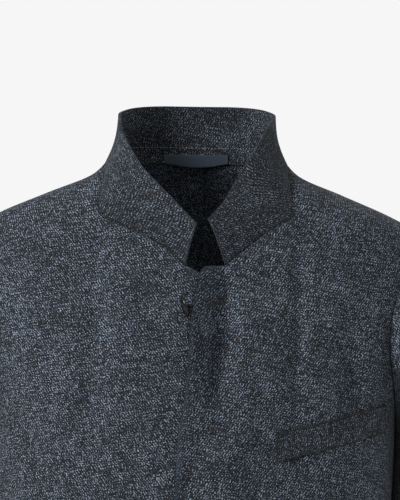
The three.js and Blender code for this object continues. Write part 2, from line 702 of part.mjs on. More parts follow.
// Buttons: a disc with a rounded rim, and four holes where it shows
function buttonGeometry(radius, thick, holes) {
  const outline = new THREE.Shape();
  outline.absarc(0, 0, radius - BUTTON_BEVEL, 0, 2 * HALF_TURN, false);
  for (let i = 0; i < holes; i += 1) {
    const turn = QUARTER_TURN * (i + 0.5);
    const hole = new THREE.Path();
    const [x, y] = [HOLE.offset * Math.cos(turn), HOLE.offset * Math.sin(turn)];
    hole.absarc(x, y, HOLE.radius + BUTTON_BEVEL, 0, 2 * HALF_TURN, true);
    outline.holes.push(hole);
  }
  const geometry = new THREE.ExtrudeGeometry(outline, {
    depth: thick - 2 * BUTTON_BEVEL,
    bevelThickness: BUTTON_BEVEL,
    bevelSize: BUTTON_BEVEL,
    bevelSegments: 2,
    curveSegments: holes ? 11 : 8,
  });
  return geometry.translate(0, 0, BUTTON_BEVEL - thick / 2);
}

// The front's outer surface where it carries a button
function frontSurface(side, x, height, lift) {
  return bodyCloth(side, turnAt(side * x, height, false), height, lift);
}

const topSeat = frontSurface(-1, TOP_BUTTON.across, TOP_BUTTON.height);
const topDisc = buttonGeometry(TOP_BUTTON.radius, TOP_BUTTON.thick, HOLE_COUNT);
const topButton = addPiece('top_button', topDisc, hornMaterial);
const standOff = TOP_BUTTON.radius * Math.cos(TOP_BUTTON_OPEN)
  + TOP_BUTTON.thick / 2 * Math.sin(TOP_BUTTON_OPEN) + BUTTON_CLEARANCE;
topButton.position.copy(topSeat.point).addScaledVector(topSeat.normal, standOff);
const faceWay = new THREE.Vector3(
  -Math.cos(TOP_BUTTON_LEAN) * Math.cos(TOP_BUTTON_OPEN),
  -Math.sin(TOP_BUTTON_OPEN),
  -Math.sin(TOP_BUTTON_LEAN) * Math.cos(TOP_BUTTON_OPEN),
);
topButton.quaternion.setFromUnitVectors(new THREE.Vector3(0, 0, 1), faceWay.normalize());

FLY_BUTTON_HEIGHTS.forEach((height, i) => {
  const seat = frontSurface(-1, FLY_BUTTON.across, height);
  const disc = buttonGeometry(FLY_BUTTON.radius, FLY_BUTTON.thick, 0);
  const button = addPiece(`fly_button_${i + 1}`, disc, hornMaterial);
  button.position.copy(seat.point).addScaledVector(seat.normal, FLY_BUTTON.thick / 2 + SEAM_GAP);
  button.quaternion.setFromUnitVectors(new THREE.Vector3(0, 0, 1), seat.normal);
});

export default jacket;
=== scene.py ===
# %% [markdown]
# # A stand collar jacket
#
# This lesson dresses a tailored jacket that was first cut as plain solids. The solids come in as
# a fixed frame, in metres, and every piece below is laid on the same form. Tailors work from flat
# pieces, so the jacket is split as they would cut it: fronts, backs, two-part sleeves, a collar
# band, a welt, a hanger loop and buttons.

# %% Load the frame
import math

import bpy
import numpy as np
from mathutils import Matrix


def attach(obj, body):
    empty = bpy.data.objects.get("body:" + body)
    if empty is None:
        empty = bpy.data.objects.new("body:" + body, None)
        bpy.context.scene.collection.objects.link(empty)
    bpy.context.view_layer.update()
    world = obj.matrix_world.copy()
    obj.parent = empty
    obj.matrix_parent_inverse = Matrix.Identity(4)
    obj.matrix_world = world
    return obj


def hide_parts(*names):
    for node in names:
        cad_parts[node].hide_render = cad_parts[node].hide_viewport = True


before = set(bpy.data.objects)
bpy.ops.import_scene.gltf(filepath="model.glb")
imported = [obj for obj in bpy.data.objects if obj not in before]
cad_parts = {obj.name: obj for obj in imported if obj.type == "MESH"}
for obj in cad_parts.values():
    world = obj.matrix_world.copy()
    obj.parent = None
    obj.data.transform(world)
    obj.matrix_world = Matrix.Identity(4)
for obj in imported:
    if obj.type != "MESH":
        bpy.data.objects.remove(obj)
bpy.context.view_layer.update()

MM = 0.001


# %% [markdown]
# ## Smooth lines through short tables
#
# A maker notes a few measured sizes and draws a fair curve through them. A spline object could do
# that, but a small function is simpler to read from anywhere: it takes a table and gives a smooth
# line that never swings past its own points.


# %% A fair curve through a table
def table(columns, *rows):
    return dict(zip(columns.split(), np.array(rows, float).T))


def curve(rows, key, column):
    at, value = rows[key], rows[column]
    rise = np.diff(value) / np.diff(at)
    slope = np.concatenate([rise[:1], np.zeros(len(at) - 2), rise[-1:]])
    for i in range(1, len(at) - 1):
        before, after = at[i] - at[i - 1], at[i + 1] - at[i]
        even = (rise[i - 1] * after + rise[i] * before) / (before + after)
        steepest = 2 * min(abs(rise[i - 1]), abs(rise[i]))
        if rise[i - 1] * rise[i] > 0:
            slope[i] = math.copysign(min(abs(even), steepest), even)

    def read(wanted):
        x = np.clip(wanted, at[0], at[-1])
        i = np.clip(np.searchsorted(at, x) - 1, 0, len(at) - 2)
        span, bend = at[i + 1] - at[i], value[i + 1] - value[i]
        t = (x - at[i]) / span
        start, end = slope[i] * span - bend, bend - slope[i + 1] * span
        return value[i] + t * bend + t * (1 - t) * (start * (1 - t) + end * t)

    return read


def smooth(x, low, high):
    t = np.clip((x - low) / (high - low), 0, 1)
    return t * t * (3 - 2 * t)


def mix(a, b, t):
    return a + (b - a) * t


rising = curve(table("x y", (0, 0), (1, 1), (2, 4)), "x", "y")
print("a curve through 0, 1 and 4, read half way between the last two:", float(rising(1.5)))


# %% [markdown]
# ## The form under the cloth
#
# A worn jacket follows a body: an oval that is wide and flat at the chest, round at the neck and a
# little fuller at the hips. One oval for each height, squared off a little at its corners, gives
# that form in one table. Sculpting would also do it, but then no seam could be placed by a size.

# %% Sizes of the body
HEM, UNDERARM, SHOULDER_TIP, NECK_POINT = -700, -230, -56, 10.5
sections = table(
    "height half front back square",
    (-700, 207, 117, 120, 2.3),
    (-600, 203, 116, 120, 2.3),
    (-520, 195, 114, 112, 2.35),
    (-430, 187, 113, 98, 2.4),
    (-330, 192, 118, 108, 2.5),
    (-270, 194.5, 121, 117, 2.5),
    (-230, 195.5, 121, 121, 2.5),
    (-190, 207, 117.5, 123, 2.4),
    (-150, 219, 111, 121, 2.25),
    (-110, 227, 99, 112, 2.1),
    (-75, 228, 88, 100, 2.05),
    (-56, 218, 82, 92, 2),
    (-40, 189.7, 75, 86, 2),
    (-20, 143, 64, 76, 2),
    (-1.5, 99.5, 50, 65, 2),
    (4, 93, 42, 60, 2),
    (10.5, 87.5, 34, 57, 2),
)
half_width, front_depth, back_depth, squareness = (
    curve(sections, "height", name) for name in ("half", "front", "back", "square")
)


def body_point(side, turn, height):
    power = squareness(height)
    across, ahead = np.sin(turn), np.cos(turn)
    scale = (np.abs(across) ** power + np.abs(ahead) ** power) ** (-1 / power)
    depth = np.where(ahead > 0, front_depth(height), back_depth(height))
    out, ahead = side * half_width(height) * scale * across, -depth * scale * ahead
    return np.stack([out, ahead, height + 0 * turn], -1)


def unit(v):
    return v / np.maximum(np.linalg.norm(v, axis=-1, keepdims=True), 1e-9)


def body_normal(side, turn, height):
    around = body_point(side, turn + 0.01, height) - body_point(side, turn - 0.01, height)
    up = body_point(side, turn, height + 0.5) - body_point(side, turn, height - 0.5)
    return unit(np.cross(around, up)) * side


def turn_at(across, height, is_back):
    share = across / half_width(height)
    power = squareness(height)
    rest = (1 - np.minimum(1, np.abs(share)) ** power) ** (1 / power)
    turn = np.arctan2(share, rest)
    return math.pi - turn if is_back else turn


chest = body_point(1, np.linspace(0, math.pi, 90), np.array(UNDERARM))
print("chest girth about", round(2 * float(np.linalg.norm(np.diff(chest, axis=0), axis=1).sum())), "mm")

# %% [markdown]
# ## Folds
#
# Tailored wool hardly creases: it hangs in long soft troughs from the shoulder, and breaks in a few
# rounded ridges where the sleeve bends. Cloth simulation gives restless small folds, so each fold
# is listed as a line with a width and a height, and none is quite like the next.

# %% Folds of the body, placed one by one
FOLD_COLUMNS = "x0 z0 x1 z1 width out"
ROUNDNESS = 0.7
front_folds = table(
    FOLD_COLUMNS,
    (-94, -40, -98, -420, 24, -4),
    (-160, -200, -128, -400, 24, -3),
    (104, -60, 102, -300, 22, -4),
    (150, -110, 148, -250, 20, -3),
    (-58, -400, -74, -760, 26, -5),
    (-128, -420, -142, -760, 24, 4.5),
    (74, -390, 88, -760, 26, -5),
    (136, -440, 150, -760, 22, 4.5),
)
front_creases = table(
    FOLD_COLUMNS,
    (28, -64, 24, -252, 15, -15),
    (22, -70, 16, -230, 11, -5),
    (60, -80, 56, -236, 27, -4),
    (10, -236, 4, -420, 9, -1.2),
    (52, -120, 44, -360, 17, 1.8),
    (101, -20, 97, -300, 7, -3.2),
    (112, -40, 110, -210, 8, 2),
    (84, -52, 84, -150, 9, 1.6),
    (152, -120, 148, -236, 8, -3),
    (168, -118, 170, -228, 7, 2.2),
    (-90, -50, -97, -240, 9, -2.5),
    (-76, -60, -80, -230, 10, 1),
    (-132, -110, -128, -250, 12, -1.4),
    (-44, -190, -74, -330, 13, -1.2),
    (12, -246, -16, -330, 7, -2.4),
    (24, -250, 0, -340, 7, 1),
    (54, -250, 66, -380, 14, -1.2),
    (-150, -250, -110, -420, 9, -1.6),
    (160, -270, 118, -430, 9, -1.8),
    (-176, -240, -150, -330, 8, 1.4),
)
back_folds = table(
    FOLD_COLUMNS,
    (-146, -122, -118, -270, 24, -4),
    (144, -126, 120, -262, 24, -3.5),
    (-92, -290, -104, -560, 26, -5),
    (98, -300, 106, -590, 26, -5),
    (-44, -430, -56, -760, 26, 4),
    (46, -410, 60, -760, 26, 4),
)
back_creases = table(
    FOLD_COLUMNS,
    (-156, -110, -140, -240, 9, -2),
    (158, -104, 138, -250, 10, -2.2),
    (-52, -14, -60, -120, 12, -1.3),
    (58, -16, 66, -130, 11, -1.5),
    (-150, -330, -70, -400, 10, -1.8),
    (140, -320, 64, -396, 11, -1.7),
    (-120, -360, -50, -440, 9, 1.2),
    (20, -300, 30, -520, 13, -1.4),
)


def fold_lift(folds, x, z):
    lift = np.zeros(np.broadcast(x, z).shape)
    for x0, z0, x1, z1, width, out in zip(*folds.values()):
        along = np.clip((z - z0) / (z1 - z0), 0, 1)
        offset = (x - mix(x0, x1, along)) / width
        lift = lift + out * np.sin(math.pi * along) ** ROUNDNESS * np.exp(-offset * offset)
    return lift


def unevenness(x, z):
    slow = np.sin(x / 23 + 1.3 * np.sin(z / 61)) * np.sin(z / 47 + 0.8 * np.sin(x / 39))
    quick = np.sin(x / 9.5 + z / 31 + 2) * np.sin(z / 14 - x / 40)
    return 0.55 * slow + 0.16 * quick


all_folds = (front_folds, front_creases, back_folds, back_creases)
print("folds placed:", sum(len(folds["x0"]) for folds in all_folds))

# %% [markdown]
# ## The front closure
#
# The left front, as it is worn, laps over the right one and hides its buttons. Two cloth layers and
# the buttons between them need room, so the upper layer stands off where it overlaps and sinks back
# to the body beside it. Its edge curls out a little at the top, where the first button is undone.

# %% How the lap stands off
LAP_OVER, LAP_UNDER, LAP_STACK, LAP_CLEAR, LAP_FALL, CORNER_RADIUS = 22, 20, 6.5, 2, 42, 7
EDGE_CURL, CURL_REACH, FADE_AT_SIDES = 5, 12, 4
centre_lines = table(
    "height under over",
    (-700, 5, 5),
    (-400, 5, 5),
    (-310, 5, 6.7),
    (-250, 4, 8.6),
    (-225, 1.5, 12.9),
    (-190, -2.5, 16.2),
    (-168, -5, 17.8),
    (-140, -8, 19.3),
    (-115, -9, 24.5),
    (-86, -9, 29.3),
)
under_centre, over_centre = (curve(centre_lines, "height", name) for name in ("under", "over"))


def lap_lift(x, z):
    shelf_end = under_centre(z) + LAP_UNDER + LAP_CLEAR
    over_edge = over_centre(z) - LAP_OVER
    stack = LAP_STACK * (1 - smooth(x, shelf_end, shelf_end + LAP_FALL))
    curl = EDGE_CURL * np.exp(-np.maximum(0, x - over_edge) / CURL_REACH)
    return stack + curl * smooth(-80 - z, -10, 25) * (1 - smooth(-z, 175, 245))


def body_cloth(side, turn, height, lift=None):
    point, normal = body_point(side, turn, height), body_normal(side, turn, height)
    x, z = point[..., 0], point[..., 2]
    is_front = np.cos(turn) > 0
    big = np.where(is_front, fold_lift(front_folds, x, z), fold_lift(back_folds, x, z))
    fine = np.where(is_front, fold_lift(front_creases, x, z), fold_lift(back_creases, x, z))
    out = (big + fine + unevenness(x, z)) * np.minimum(1, np.abs(np.cos(turn)) * FADE_AT_SIDES)
    if lift:
        out = out + lift(x, z)
    return point + normal * out[..., None], normal


print("lap edge runs from x", float(over_centre(-86) - LAP_OVER), "to", float(over_centre(-310) - LAP_OVER))

# %% [markdown]
# ## Where each point lies on the cloth
#
# The weave has to run along the grain, so every point of the form needs its place on flat cloth. That
# place is the length walked over the form: sideways from the middle, and up from the hem. A UV unwrap
# would also flatten the cloth, but not with its grain upright and at its true size.

# %% Lengths walked over the form
LEVELS, TURNS = np.linspace(HEM - 20, NECK_POINT, 240), np.linspace(0, math.pi, 181)
form = body_point(1, TURNS[None, :], LEVELS[:, None])
around_steps = np.linalg.norm(np.diff(form, axis=1), axis=-1)
up_steps = np.linalg.norm(np.diff(form, axis=0)[..., 1:], axis=-1)
flat_across = np.hstack([np.zeros((len(LEVELS), 1)), around_steps.cumsum(1)])
flat_up = np.vstack([np.zeros((1, len(TURNS))), up_steps.cumsum(0)])


def read_form(values, turn, height):
    """Reads a grid of values over the form, between its points."""
    t = np.clip(turn / math.pi * (len(TURNS) - 1), 0, len(TURNS) - 1.001)
    share = (height - LEVELS[0]) / (LEVELS[-1] - LEVELS[0])
    h = np.clip(share * (len(LEVELS) - 1), 0, len(LEVELS) - 1.001)
    i, j = h.astype(int), t.astype(int)
    low = mix(values[i, j], values[i, j + 1], t - j)
    return mix(low, mix(values[i + 1, j], values[i + 1, j + 1], t - j), h - i)


CUT_APART = 1300


def body_flat(side, turn, height, is_back):
    """Where a point lies on its cloth; left and right are a mirrored pair from two stretches."""
    near = np.where(turn > math.pi, 2 * math.pi - turn, np.abs(turn))
    across = read_form(flat_across, near, height)
    if is_back:
        half_round = read_form(flat_across, np.full_like(turn, math.pi), height)
        across = (half_round - across) * np.sign(math.pi - turn)
    else:
        across = across * np.sign(turn)
    return np.stack([-across + (side > 0) * CUT_APART, read_form(flat_up, near, height)], -1) * MM


print("hem to neck point over the front", round(float(flat_up[-1, 0])), "mm")

# %% [markdown]
# ## Cutting a body panel
#
# Each panel is a grid of points that ends exactly on its seams: the hem below, the side seam, the
# armhole and the shoulder seam on one side, the front edge or centre back on the other, and the
# neck seam on top. Grids can be denser near an edge, where cloth rolls over.

# %% Seam lines
ARMHOLE_FRONT, ARMHOLE_BACK, ARMHOLE_PEAK = math.radians(35), math.radians(32), 0.6
ARM_SHARE = 0.6
neck_under = table(
    "across height",
    (9, -88.3), (21, -77.3), (59, -56), (88, -41), (92, -34), (92, -22), (89.5, -5), (87.5, 10.5),
)
neck_over = table(
    "across height",
    (29.3, -86.4), (49, -71), (63, -60), (80, -49), (92, -41), (92, -34), (92, -22), (89.5, -5), (87.5, 10.5),
)


def back_seam(height):
    return 9 * smooth(height, -150, NECK_POINT)


def neck_back(side):
    return table("across height", (side * float(back_seam(10)), 10), (60, 10.2), (87.5, 10.5))


def armhole_place(around, is_back):
    reach = -ARMHOLE_BACK if is_back else ARMHOLE_FRONT
    peak = ARMHOLE_PEAK * smooth(around, math.pi / 2, math.pi)
    climb = mix((1 - np.cos(around)) / 2, around / math.pi, peak)
    return math.pi / 2 - reach * np.sin(around), mix(UNDERARM, SHOULDER_TIP, climb)


def side_edge(is_back, counts):
    skirt, arm, shoulder = (np.arange(n) / n for n in counts)
    arm_turn, arm_height = armhole_place(math.pi * arm, is_back)
    last = np.append(shoulder, 1.0)
    turn = np.concatenate([0 * skirt + math.pi / 2, arm_turn, 0 * last + math.pi / 2])
    height = np.concatenate([
        mix(HEM, UNDERARM, skirt), arm_height, mix(SHOULDER_TIP, NECK_POINT, last)])
    climb = np.concatenate([0 * skirt, ARM_SHARE * arm, ARM_SHARE + (1 - ARM_SHARE) * last])
    return turn, height, climb


def close_to_ends(count):
    return np.sort(np.concatenate([np.linspace(0, 1, count), [0.003, 0.008, 0.992, 0.997]]))


print("armhole from", UNDERARM, "up to", SHOULDER_TIP, "mm")


# %% [markdown]
# ## Filling a panel between its seams
#
# Rows climb from the hem to the neck seam, and columns go from the front edge to the side. A flat
# pattern could be bent round the form instead, but a grid between the seams meets its neighbours
# exactly. The lap is a strip of columns more, beyond the centre line.

# %% One panel as a grid
FRONT_COLUMNS, BACK_COLUMNS, PANEL_ROWS = 84, 66, (90, 48, 24)
LAP_SHARES = np.array([1, 0.997, 0.985, 0.96, 0.93, 0.88, 0.8, 0.7, 0.58, 0.45, 0.3, 0.15])
LAP_COLUMNS = len(LAP_SHARES)


def lap_drop(beyond, lap, slope):
    past = np.maximum(0, beyond - (lap - CORNER_RADIUS))
    return slope * beyond + CORNER_RADIUS - np.sqrt(np.maximum(0, CORNER_RADIUS ** 2 - past ** 2))


def body_panel(side, is_back, neck, centre, lift=None, lap=0, slope=0.0):
    neck_turns = {"turn": turn_at(neck["across"], neck["height"], is_back), "height": neck["height"]}
    first = float(neck_turns["turn"][0])
    if is_back:
        neck_turns = {name: values[::-1] for name, values in neck_turns.items()}
    neck_height = curve(neck_turns, "turn", "height")
    top = float(neck["height"][0])
    end_turn, end_height, climb = side_edge(is_back, PANEL_ROWS)
    start = np.where(climb > 0, mix(UNDERARM, top, climb), end_height)
    start_turn = turn_at(centre(start), start, is_back)
    start_turn[-1] = first
    share = close_to_ends(BACK_COLUMNS if is_back else FRONT_COLUMNS)[None, :]
    rise = (neck_height(mix(first, math.pi / 2, share)) - top) / (NECK_POINT - top)
    height = mix(start[:, None], end_height[:, None], rise)
    turn = mix(start_turn[:, None], end_turn[:, None], share)
    if lap:
        beyond = LAP_SHARES[None, :] * lap
        lap_height = start[:, None] - lap_drop(beyond, lap, slope) * climb[:, None] ** 2
        lap_turn = turn_at(centre(lap_height) - beyond, lap_height, is_back)
        height, turn = np.hstack([lap_height, height]), np.hstack([lap_turn, turn])
    outer, normals = body_cloth(side, turn, height, lift)
    return outer, normals, body_flat(side, turn, height, is_back)


UNDER_SLOPE, OVER_SLOPE = 0.49, 0.2
panels = {
    "front_right": body_panel(
        -1, False, neck_under, lambda z: -under_centre(z), lap=LAP_UNDER, slope=UNDER_SLOPE),
    "front_left": body_panel(1, False, neck_over, over_centre, lap_lift, LAP_OVER, OVER_SLOPE),
    "back_right": body_panel(-1, True, neck_back(-1), lambda z: -back_seam(z)),
    "back_left": body_panel(1, True, neck_back(1), back_seam),
}
for name, (points, _, _) in panels.items():
    print(name, "grid", points.shape[:2])

# %% [markdown]
# ## From points to a piece
#
# Two cloths that are sewn together still show a fine line, so a grid can be pulled in by a hair at
# its seams. Small parts such as the collar are laid out flat by their own lengths. One maker turns
# points in millimetres into a piece of the scene, whether it is cloth, thread or horn.


# %% Grids, their flat places and a piece from points
def pulled_in(grid, edges, gap=0.15):
    result = grid.copy()
    if "top" in edges:
        result[-1] += gap * unit(grid[-2] - grid[-1])
    if "low" in edges:
        result[0] += gap * unit(grid[1] - grid[0])
    if "start" in edges:
        result[:, 0] += gap * unit(grid[:, 1] - grid[:, 0])
    if "end" in edges:
        result[:, -1] += gap * unit(grid[:, -2] - grid[:, -1])
    return result


def flat_place(grid, turned=0.0):
    along = np.linalg.norm(np.diff(grid, axis=1), axis=-1).cumsum(1)
    up = np.linalg.norm(np.diff(grid, axis=0), axis=-1).cumsum(0)
    u = np.hstack([np.zeros((len(grid), 1)), along])
    u = u - u[:, u.shape[1] // 2:][:, :1]
    v = np.vstack([np.zeros((1, grid.shape[1])), up])
    c, s = math.cos(turned), math.sin(turned)
    return np.stack([c * u - s * v, s * u + c * v], -1) * MM


def new_piece(name, points, faces, material):
    """A smooth mesh from points in millimetres, put in the scene."""
    mesh = bpy.data.meshes.new(name)
    mesh.from_pydata((np.asarray(points, float).reshape(-1, 3) * MM).tolist(), [], faces)
    mesh.polygons.foreach_set("use_smooth", np.ones(len(faces), bool))
    mesh.materials.append(material)
    piece = bpy.data.objects.new(name, mesh)
    bpy.context.scene.collection.objects.link(piece)
    return piece


def cloth_area(grid):
    a, b = grid[1:, 1:] - grid[:-1, :-1], grid[1:, :-1] - grid[:-1, 1:]
    return float(np.linalg.norm(np.cross(a, b), axis=-1).sum() / 2) * MM * MM


print("front right cloth, square metres:", round(cloth_area(panels["front_right"][0]), 3))

# %% [markdown]
# ## Edges and seams
#
# Wool wears paler where it turns over an edge, and that paler colour also paints the highlight of
# light catching the edge; where the cloth dips into a seam it gets painted shade. Both could be
# painted by hand, but then each change of shape would need new paint. So every point gets a mark that
# is worked out from how far it lies from an edge: above zero at a free edge, below it at a seam.

# %% Marks along the edges
EDGE_ROLL, FRONT_ROLL, FRONT_HIGHLIGHT_AND_WEAR, SEAM_VALLEY, VALLEY_DEPTH = 1.0, 3.0, 1.4, 0.9, 0.4
BEVEL_FROM = math.radians(55)


def from_edge(grid, edge):
    """How far each point lies from one edge of its grid."""
    if edge in ("top", "end"):
        return from_edge(grid[::-1, ::-1], {"top": "low", "end": "start"}[edge])[::-1, ::-1]
    axis = 0 if edge == "low" else 1
    steps = np.linalg.norm(np.diff(grid, axis=axis), axis=-1)
    return np.concatenate([np.zeros_like(steps.take([0], axis)), steps.cumsum(axis)], axis)


def near_edges(grid, edges, reach):
    marks = [np.exp(-(from_edge(grid, edge) / reach) ** 2) for edge in edges]
    return np.max([np.zeros(grid.shape[:2]), *marks], axis=0)


def edge_marks(grid, free, seams, roll=EDGE_ROLL, rub=1.0, shade=1.0, lap=0):
    """Marks for a grid; the first columns may be a lap, whose top edge is free and not a seam."""
    # Free edges get a mark for wear and painted highlight, seams a mark for painted shade.
    turned = rub * near_edges(grid, free, roll)
    painted_shade = shade * near_edges(grid, seams, shade * SEAM_VALLEY)
    turned[:, :lap] = rub * near_edges(grid, (*free, "top"), roll)[:, :lap]
    painted_shade[:, :lap] = 0
    return turned - painted_shade


# %% [markdown]
# ## From grid to cloth
#
# Cloth has two faces and an edge. The outer grid is copied inward by the cloth's thickness and the
# rim is closed, then a small bevel rounds the turned edge. Each point also keeps where it lies on
# the flat cloth, in metres, so that the weave can run along the grain of every piece.


# %% Closed walls from two grids
def wall_faces(rows, columns):
    index = np.arange(rows * columns).reshape(rows, columns)
    under = index + rows * columns
    rings = (
        (index[:-1, :-1], index[:-1, 1:], index[1:, 1:], index[1:, :-1]),
        (under[:-1, :-1], under[1:, :-1], under[1:, 1:], under[:-1, 1:]),
        (index[:-1, 0], index[1:, 0], under[1:, 0], under[:-1, 0]),
        (index[1:, -1], index[:-1, -1], under[:-1, -1], under[1:, -1]),
        (index[0, 1:], index[0, :-1], under[0, :-1], under[0, 1:]),
        (index[-1, :-1], index[-1, 1:], under[-1, 1:], under[-1, :-1]),
    )
    return np.vstack([np.stack(corners, -1).reshape(-1, 4) for corners in rings])


def wall(name, outer, inner, place, material, slot="cloth", round_edge=0.6,
         free=(), seams=(), dips=(), **marking):
    marks = edge_marks(outer, free, seams, **marking)
    dip = VALLEY_DEPTH * near_edges(outer, dips, SEAM_VALLEY)
    outer = outer - unit(outer - inner) * dip[..., None]
    points = np.concatenate([outer.reshape(-1, 3), inner.reshape(-1, 3)])
    faces = wall_faces(*outer.shape[:2])
    a, b, c = (points[faces[:, k]] for k in range(3))
    if np.einsum("ij,ij->i", a, np.cross(b, c)).sum() < 0:
        faces = faces[:, ::-1]
    piece = new_piece(name, points, faces.tolist(), material)
    layer = piece.data.uv_layers.new(name="grain")
    flat = np.concatenate([place.reshape(-1, 2)] * 2)
    loops = np.empty(len(piece.data.loops), np.int32)
    piece.data.loops.foreach_get("vertex_index", loops)
    layer.data.foreach_set("uv", flat[loops].astype(np.float32).ravel())
    # Each point keeps its mark: wear and painted highlight above zero, painted shade below.
    wear_and_painted_light = piece.data.attributes.new("wear_and_painted_light", "FLOAT", "POINT")
    wear_and_painted_light.data.foreach_set("value", np.concatenate([marks.ravel()] * 2).astype(np.float32))
    bevel = piece.modifiers.new("turned edge", "BEVEL")
    bevel.width, bevel.segments, bevel.limit_method = round_edge * MM, 2, "ANGLE"
    bevel.angle_limit = BEVEL_FROM
    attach(piece, "root")
    return piece


sides = wall_faces(*panels["front_left"][0].shape[:2])
print("left front: faces on both sides and the rim", len(sides))

# %% [markdown]
# ## The cloth's own look
#
# The cloth is a slate blue twill spun from dark and pale fibres together. Close up it shows dark
# ground, pale flecks and short uneven slubs, on fine ribs that run diagonally. One node group holds
# that weave, so that the body cloth and its turned edges share it with their own values.


# %% Node helpers
def new_material(name, roughness, sheen=0.0):
    material = bpy.data.materials.new(name)
    material.use_nodes = True
    nodes = material.node_tree.nodes
    shader = nodes["Principled BSDF"]
    shader.inputs["Roughness"].default_value = roughness
    shader.inputs["Sheen Weight"].default_value = sheen
    shader.inputs["Sheen Roughness"].default_value = 0.45
    return material, material.node_tree, shader


def add(tree, kind, links=(), **values):
    node = tree.nodes.new(kind)
    for key, value in values.items():
        setattr(node, key, value)
    for socket, source in links:
        if isinstance(source, bpy.types.NodeSocket):
            tree.links.new(source, node.inputs[socket])
        else:
            node.inputs[socket].default_value = source
    return node


def maths(tree, operation, a, b=0.0, c=None):
    links = [(0, a), (1, b)] + ([(2, c)] if c is not None else [])
    return add(tree, "ShaderNodeMath", links, operation=operation).outputs[0]


def blend(tree, share, first, second):
    sockets = [(0, share), (6, first), (7, second)]
    return add(tree, "ShaderNodeMix", sockets, data_type="RGBA").outputs[2]


def tint(tree, shader, share, dark, light):
    """Gives a shader a colour between two, by a share that varies over the piece."""
    tree.links.new(blend(tree, share, (*dark, 1), (*light, 1)), shader.inputs["Base Color"])


def raise_relief(tree, shader, height, strength, distance):
    relief = add(tree, "ShaderNodeBump", [
        ("Strength", strength), ("Distance", distance), ("Height", height)])
    tree.links.new(relief.outputs[0], shader.inputs["Normal"])


def grain_place(tree):
    """The flat place of a point, from the piece's own layer."""
    flat = tree.nodes.new("ShaderNodeUVMap")
    flat.uv_map = "grain"
    return flat.outputs[0]


def noise_at(tree, place, **settings):
    links = [("Vector", place), *((name.title(), value) for name, value in settings.items())]
    return add(tree, "ShaderNodeTexNoise", links).outputs[0]


print("node helpers:", [f.__name__ for f in (add, maths, blend, tint, raise_relief, grain_place, noise_at)])


# %% [markdown]
# ## How the weave is mixed
#
# Soft spots of many sizes and three sets of ribs are added up, and the sum sets the tone as a power,
# since mixed fibres give many dark threads and a few very pale ones. An image of cloth would repeat
# and blur up close; a procedure doesn't.

# %% The weave as a node group
TWILL, GRAIN = math.radians(52), math.radians(9)
DEPTH_REACH, WANDER, FLECK_SHARE, FLECK_FROM = 2.4, 9.0, 0.05, -0.1


def weave_group():
    group = bpy.data.node_groups.new("melange_twill", "ShaderNodeTree")
    face = group.interface
    for name, kind, default in (
        ("Flat Place", "NodeSocketVector", None),
        ("Ground", "NodeSocketColor", (0.05, 0.06, 0.075, 1)),
        ("Fleck", "NodeSocketColor", (0.2, 0.23, 0.27, 1)),
        ("Contrast", "NodeSocketFloat", 1.0),
    ):
        socket = face.new_socket(name=name, in_out="INPUT", socket_type=kind)
        if default is not None:
            socket.default_value = default
    face.new_socket(name="Color", in_out="OUTPUT", socket_type="NodeSocketColor")
    face.new_socket(name="Height", in_out="OUTPUT", socket_type="NodeSocketFloat")
    start, end = group.nodes.new("NodeGroupInput"), group.nodes.new("NodeGroupOutput")
    flat = start.outputs["Flat Place"]

    def clumps(size, turned, detail=1.0):
        """Soft spots of a size in metres along and across a direction, centred on zero."""
        place = add(group, "ShaderNodeMapping", [
            ("Vector", flat), ("Rotation", (0, 0, turned)), ("Scale", (*size, DEPTH_REACH * min(size))),
        ], vector_type="TEXTURE")
        noise = noise_at(group, place.outputs[0], scale=1.0, detail=detail)
        return maths(group, "SUBTRACT", noise, 0.5)

    def ribs(period, leaning, wobble):
        """Rows of thread a period apart, whose lines lean by an angle and wander a little."""
        pull = (math.sin(leaning) * 2 * math.pi / period, math.cos(leaning) * 2 * math.pi / period, 0)
        phase = add(group, "ShaderNodeVectorMath", [(0, flat), (1, pull)], operation="DOT_PRODUCT")
        phase = phase.outputs["Value"]
        return maths(group, "SINE", maths(group, "MULTIPLY_ADD", wobble, WANDER, phase))

    wander = clumps((9 * MM, 7 * MM), 0.0)
    parts = (
        (clumps((1.5 * MM, 0.9 * MM), -TWILL), 1.2),
        (clumps((0.92 * MM, 0.92 * MM), 0.3, 0.0), 1.6),
        (clumps((3.2 * MM, 1.0 * MM), GRAIN), 0.45),
        (clumps((1.05 * MM, 3.6 * MM), GRAIN), 0.3),
        (clumps((17 * MM, 1.6 * MM), GRAIN), 0.5),
        (clumps((1.8 * MM, 15 * MM), GRAIN), 0.35),
        (clumps((38 * MM, 24 * MM), 0.5, 2.0), 0.3),
        (ribs(2.18 * MM, TWILL, wander), 0.19),
        (ribs(2.33 * MM, math.pi / 2 - GRAIN, wander), 0.1),
        (ribs(2.3 * MM, -GRAIN, wander), 0.08),
    )
    centred = 0.0
    for spots, weight in parts:
        centred = maths(group, "MULTIPLY_ADD", spots, weight, centred)
    tone = maths(group, "EXPONENT", maths(group, "MULTIPLY", centred, start.outputs["Contrast"]))
    ground = start.outputs["Ground"]
    shade = add(group, "ShaderNodeVectorMath", [(0, ground), ("Scale", tone)], operation="SCALE")
    lightness = maths(group, "MULTIPLY_ADD", tone, FLECK_SHARE, FLECK_FROM)
    colour = blend(group, lightness, shade.outputs["Vector"], start.outputs["Fleck"])
    group.links.new(colour, end.inputs["Color"])
    group.links.new(centred, end.inputs["Height"])
    return group


weave = weave_group()
print("weave group sockets:", [s.name for s in weave.interface.items_tree])

# %% [markdown]
# ## Paler edges from wear and painted highlight, painted shade in seams
#
# The marks along the edges now get their look. Rubbed wool loses its dark ground, so a free edge goes
# towards a paler colour of the same cloth, which also paints the highlight of the edge catching the
# light. The dip of a seam goes towards black, which is painted shade. A paler material for the edges
# alone would be simpler, but its border would show as a line.

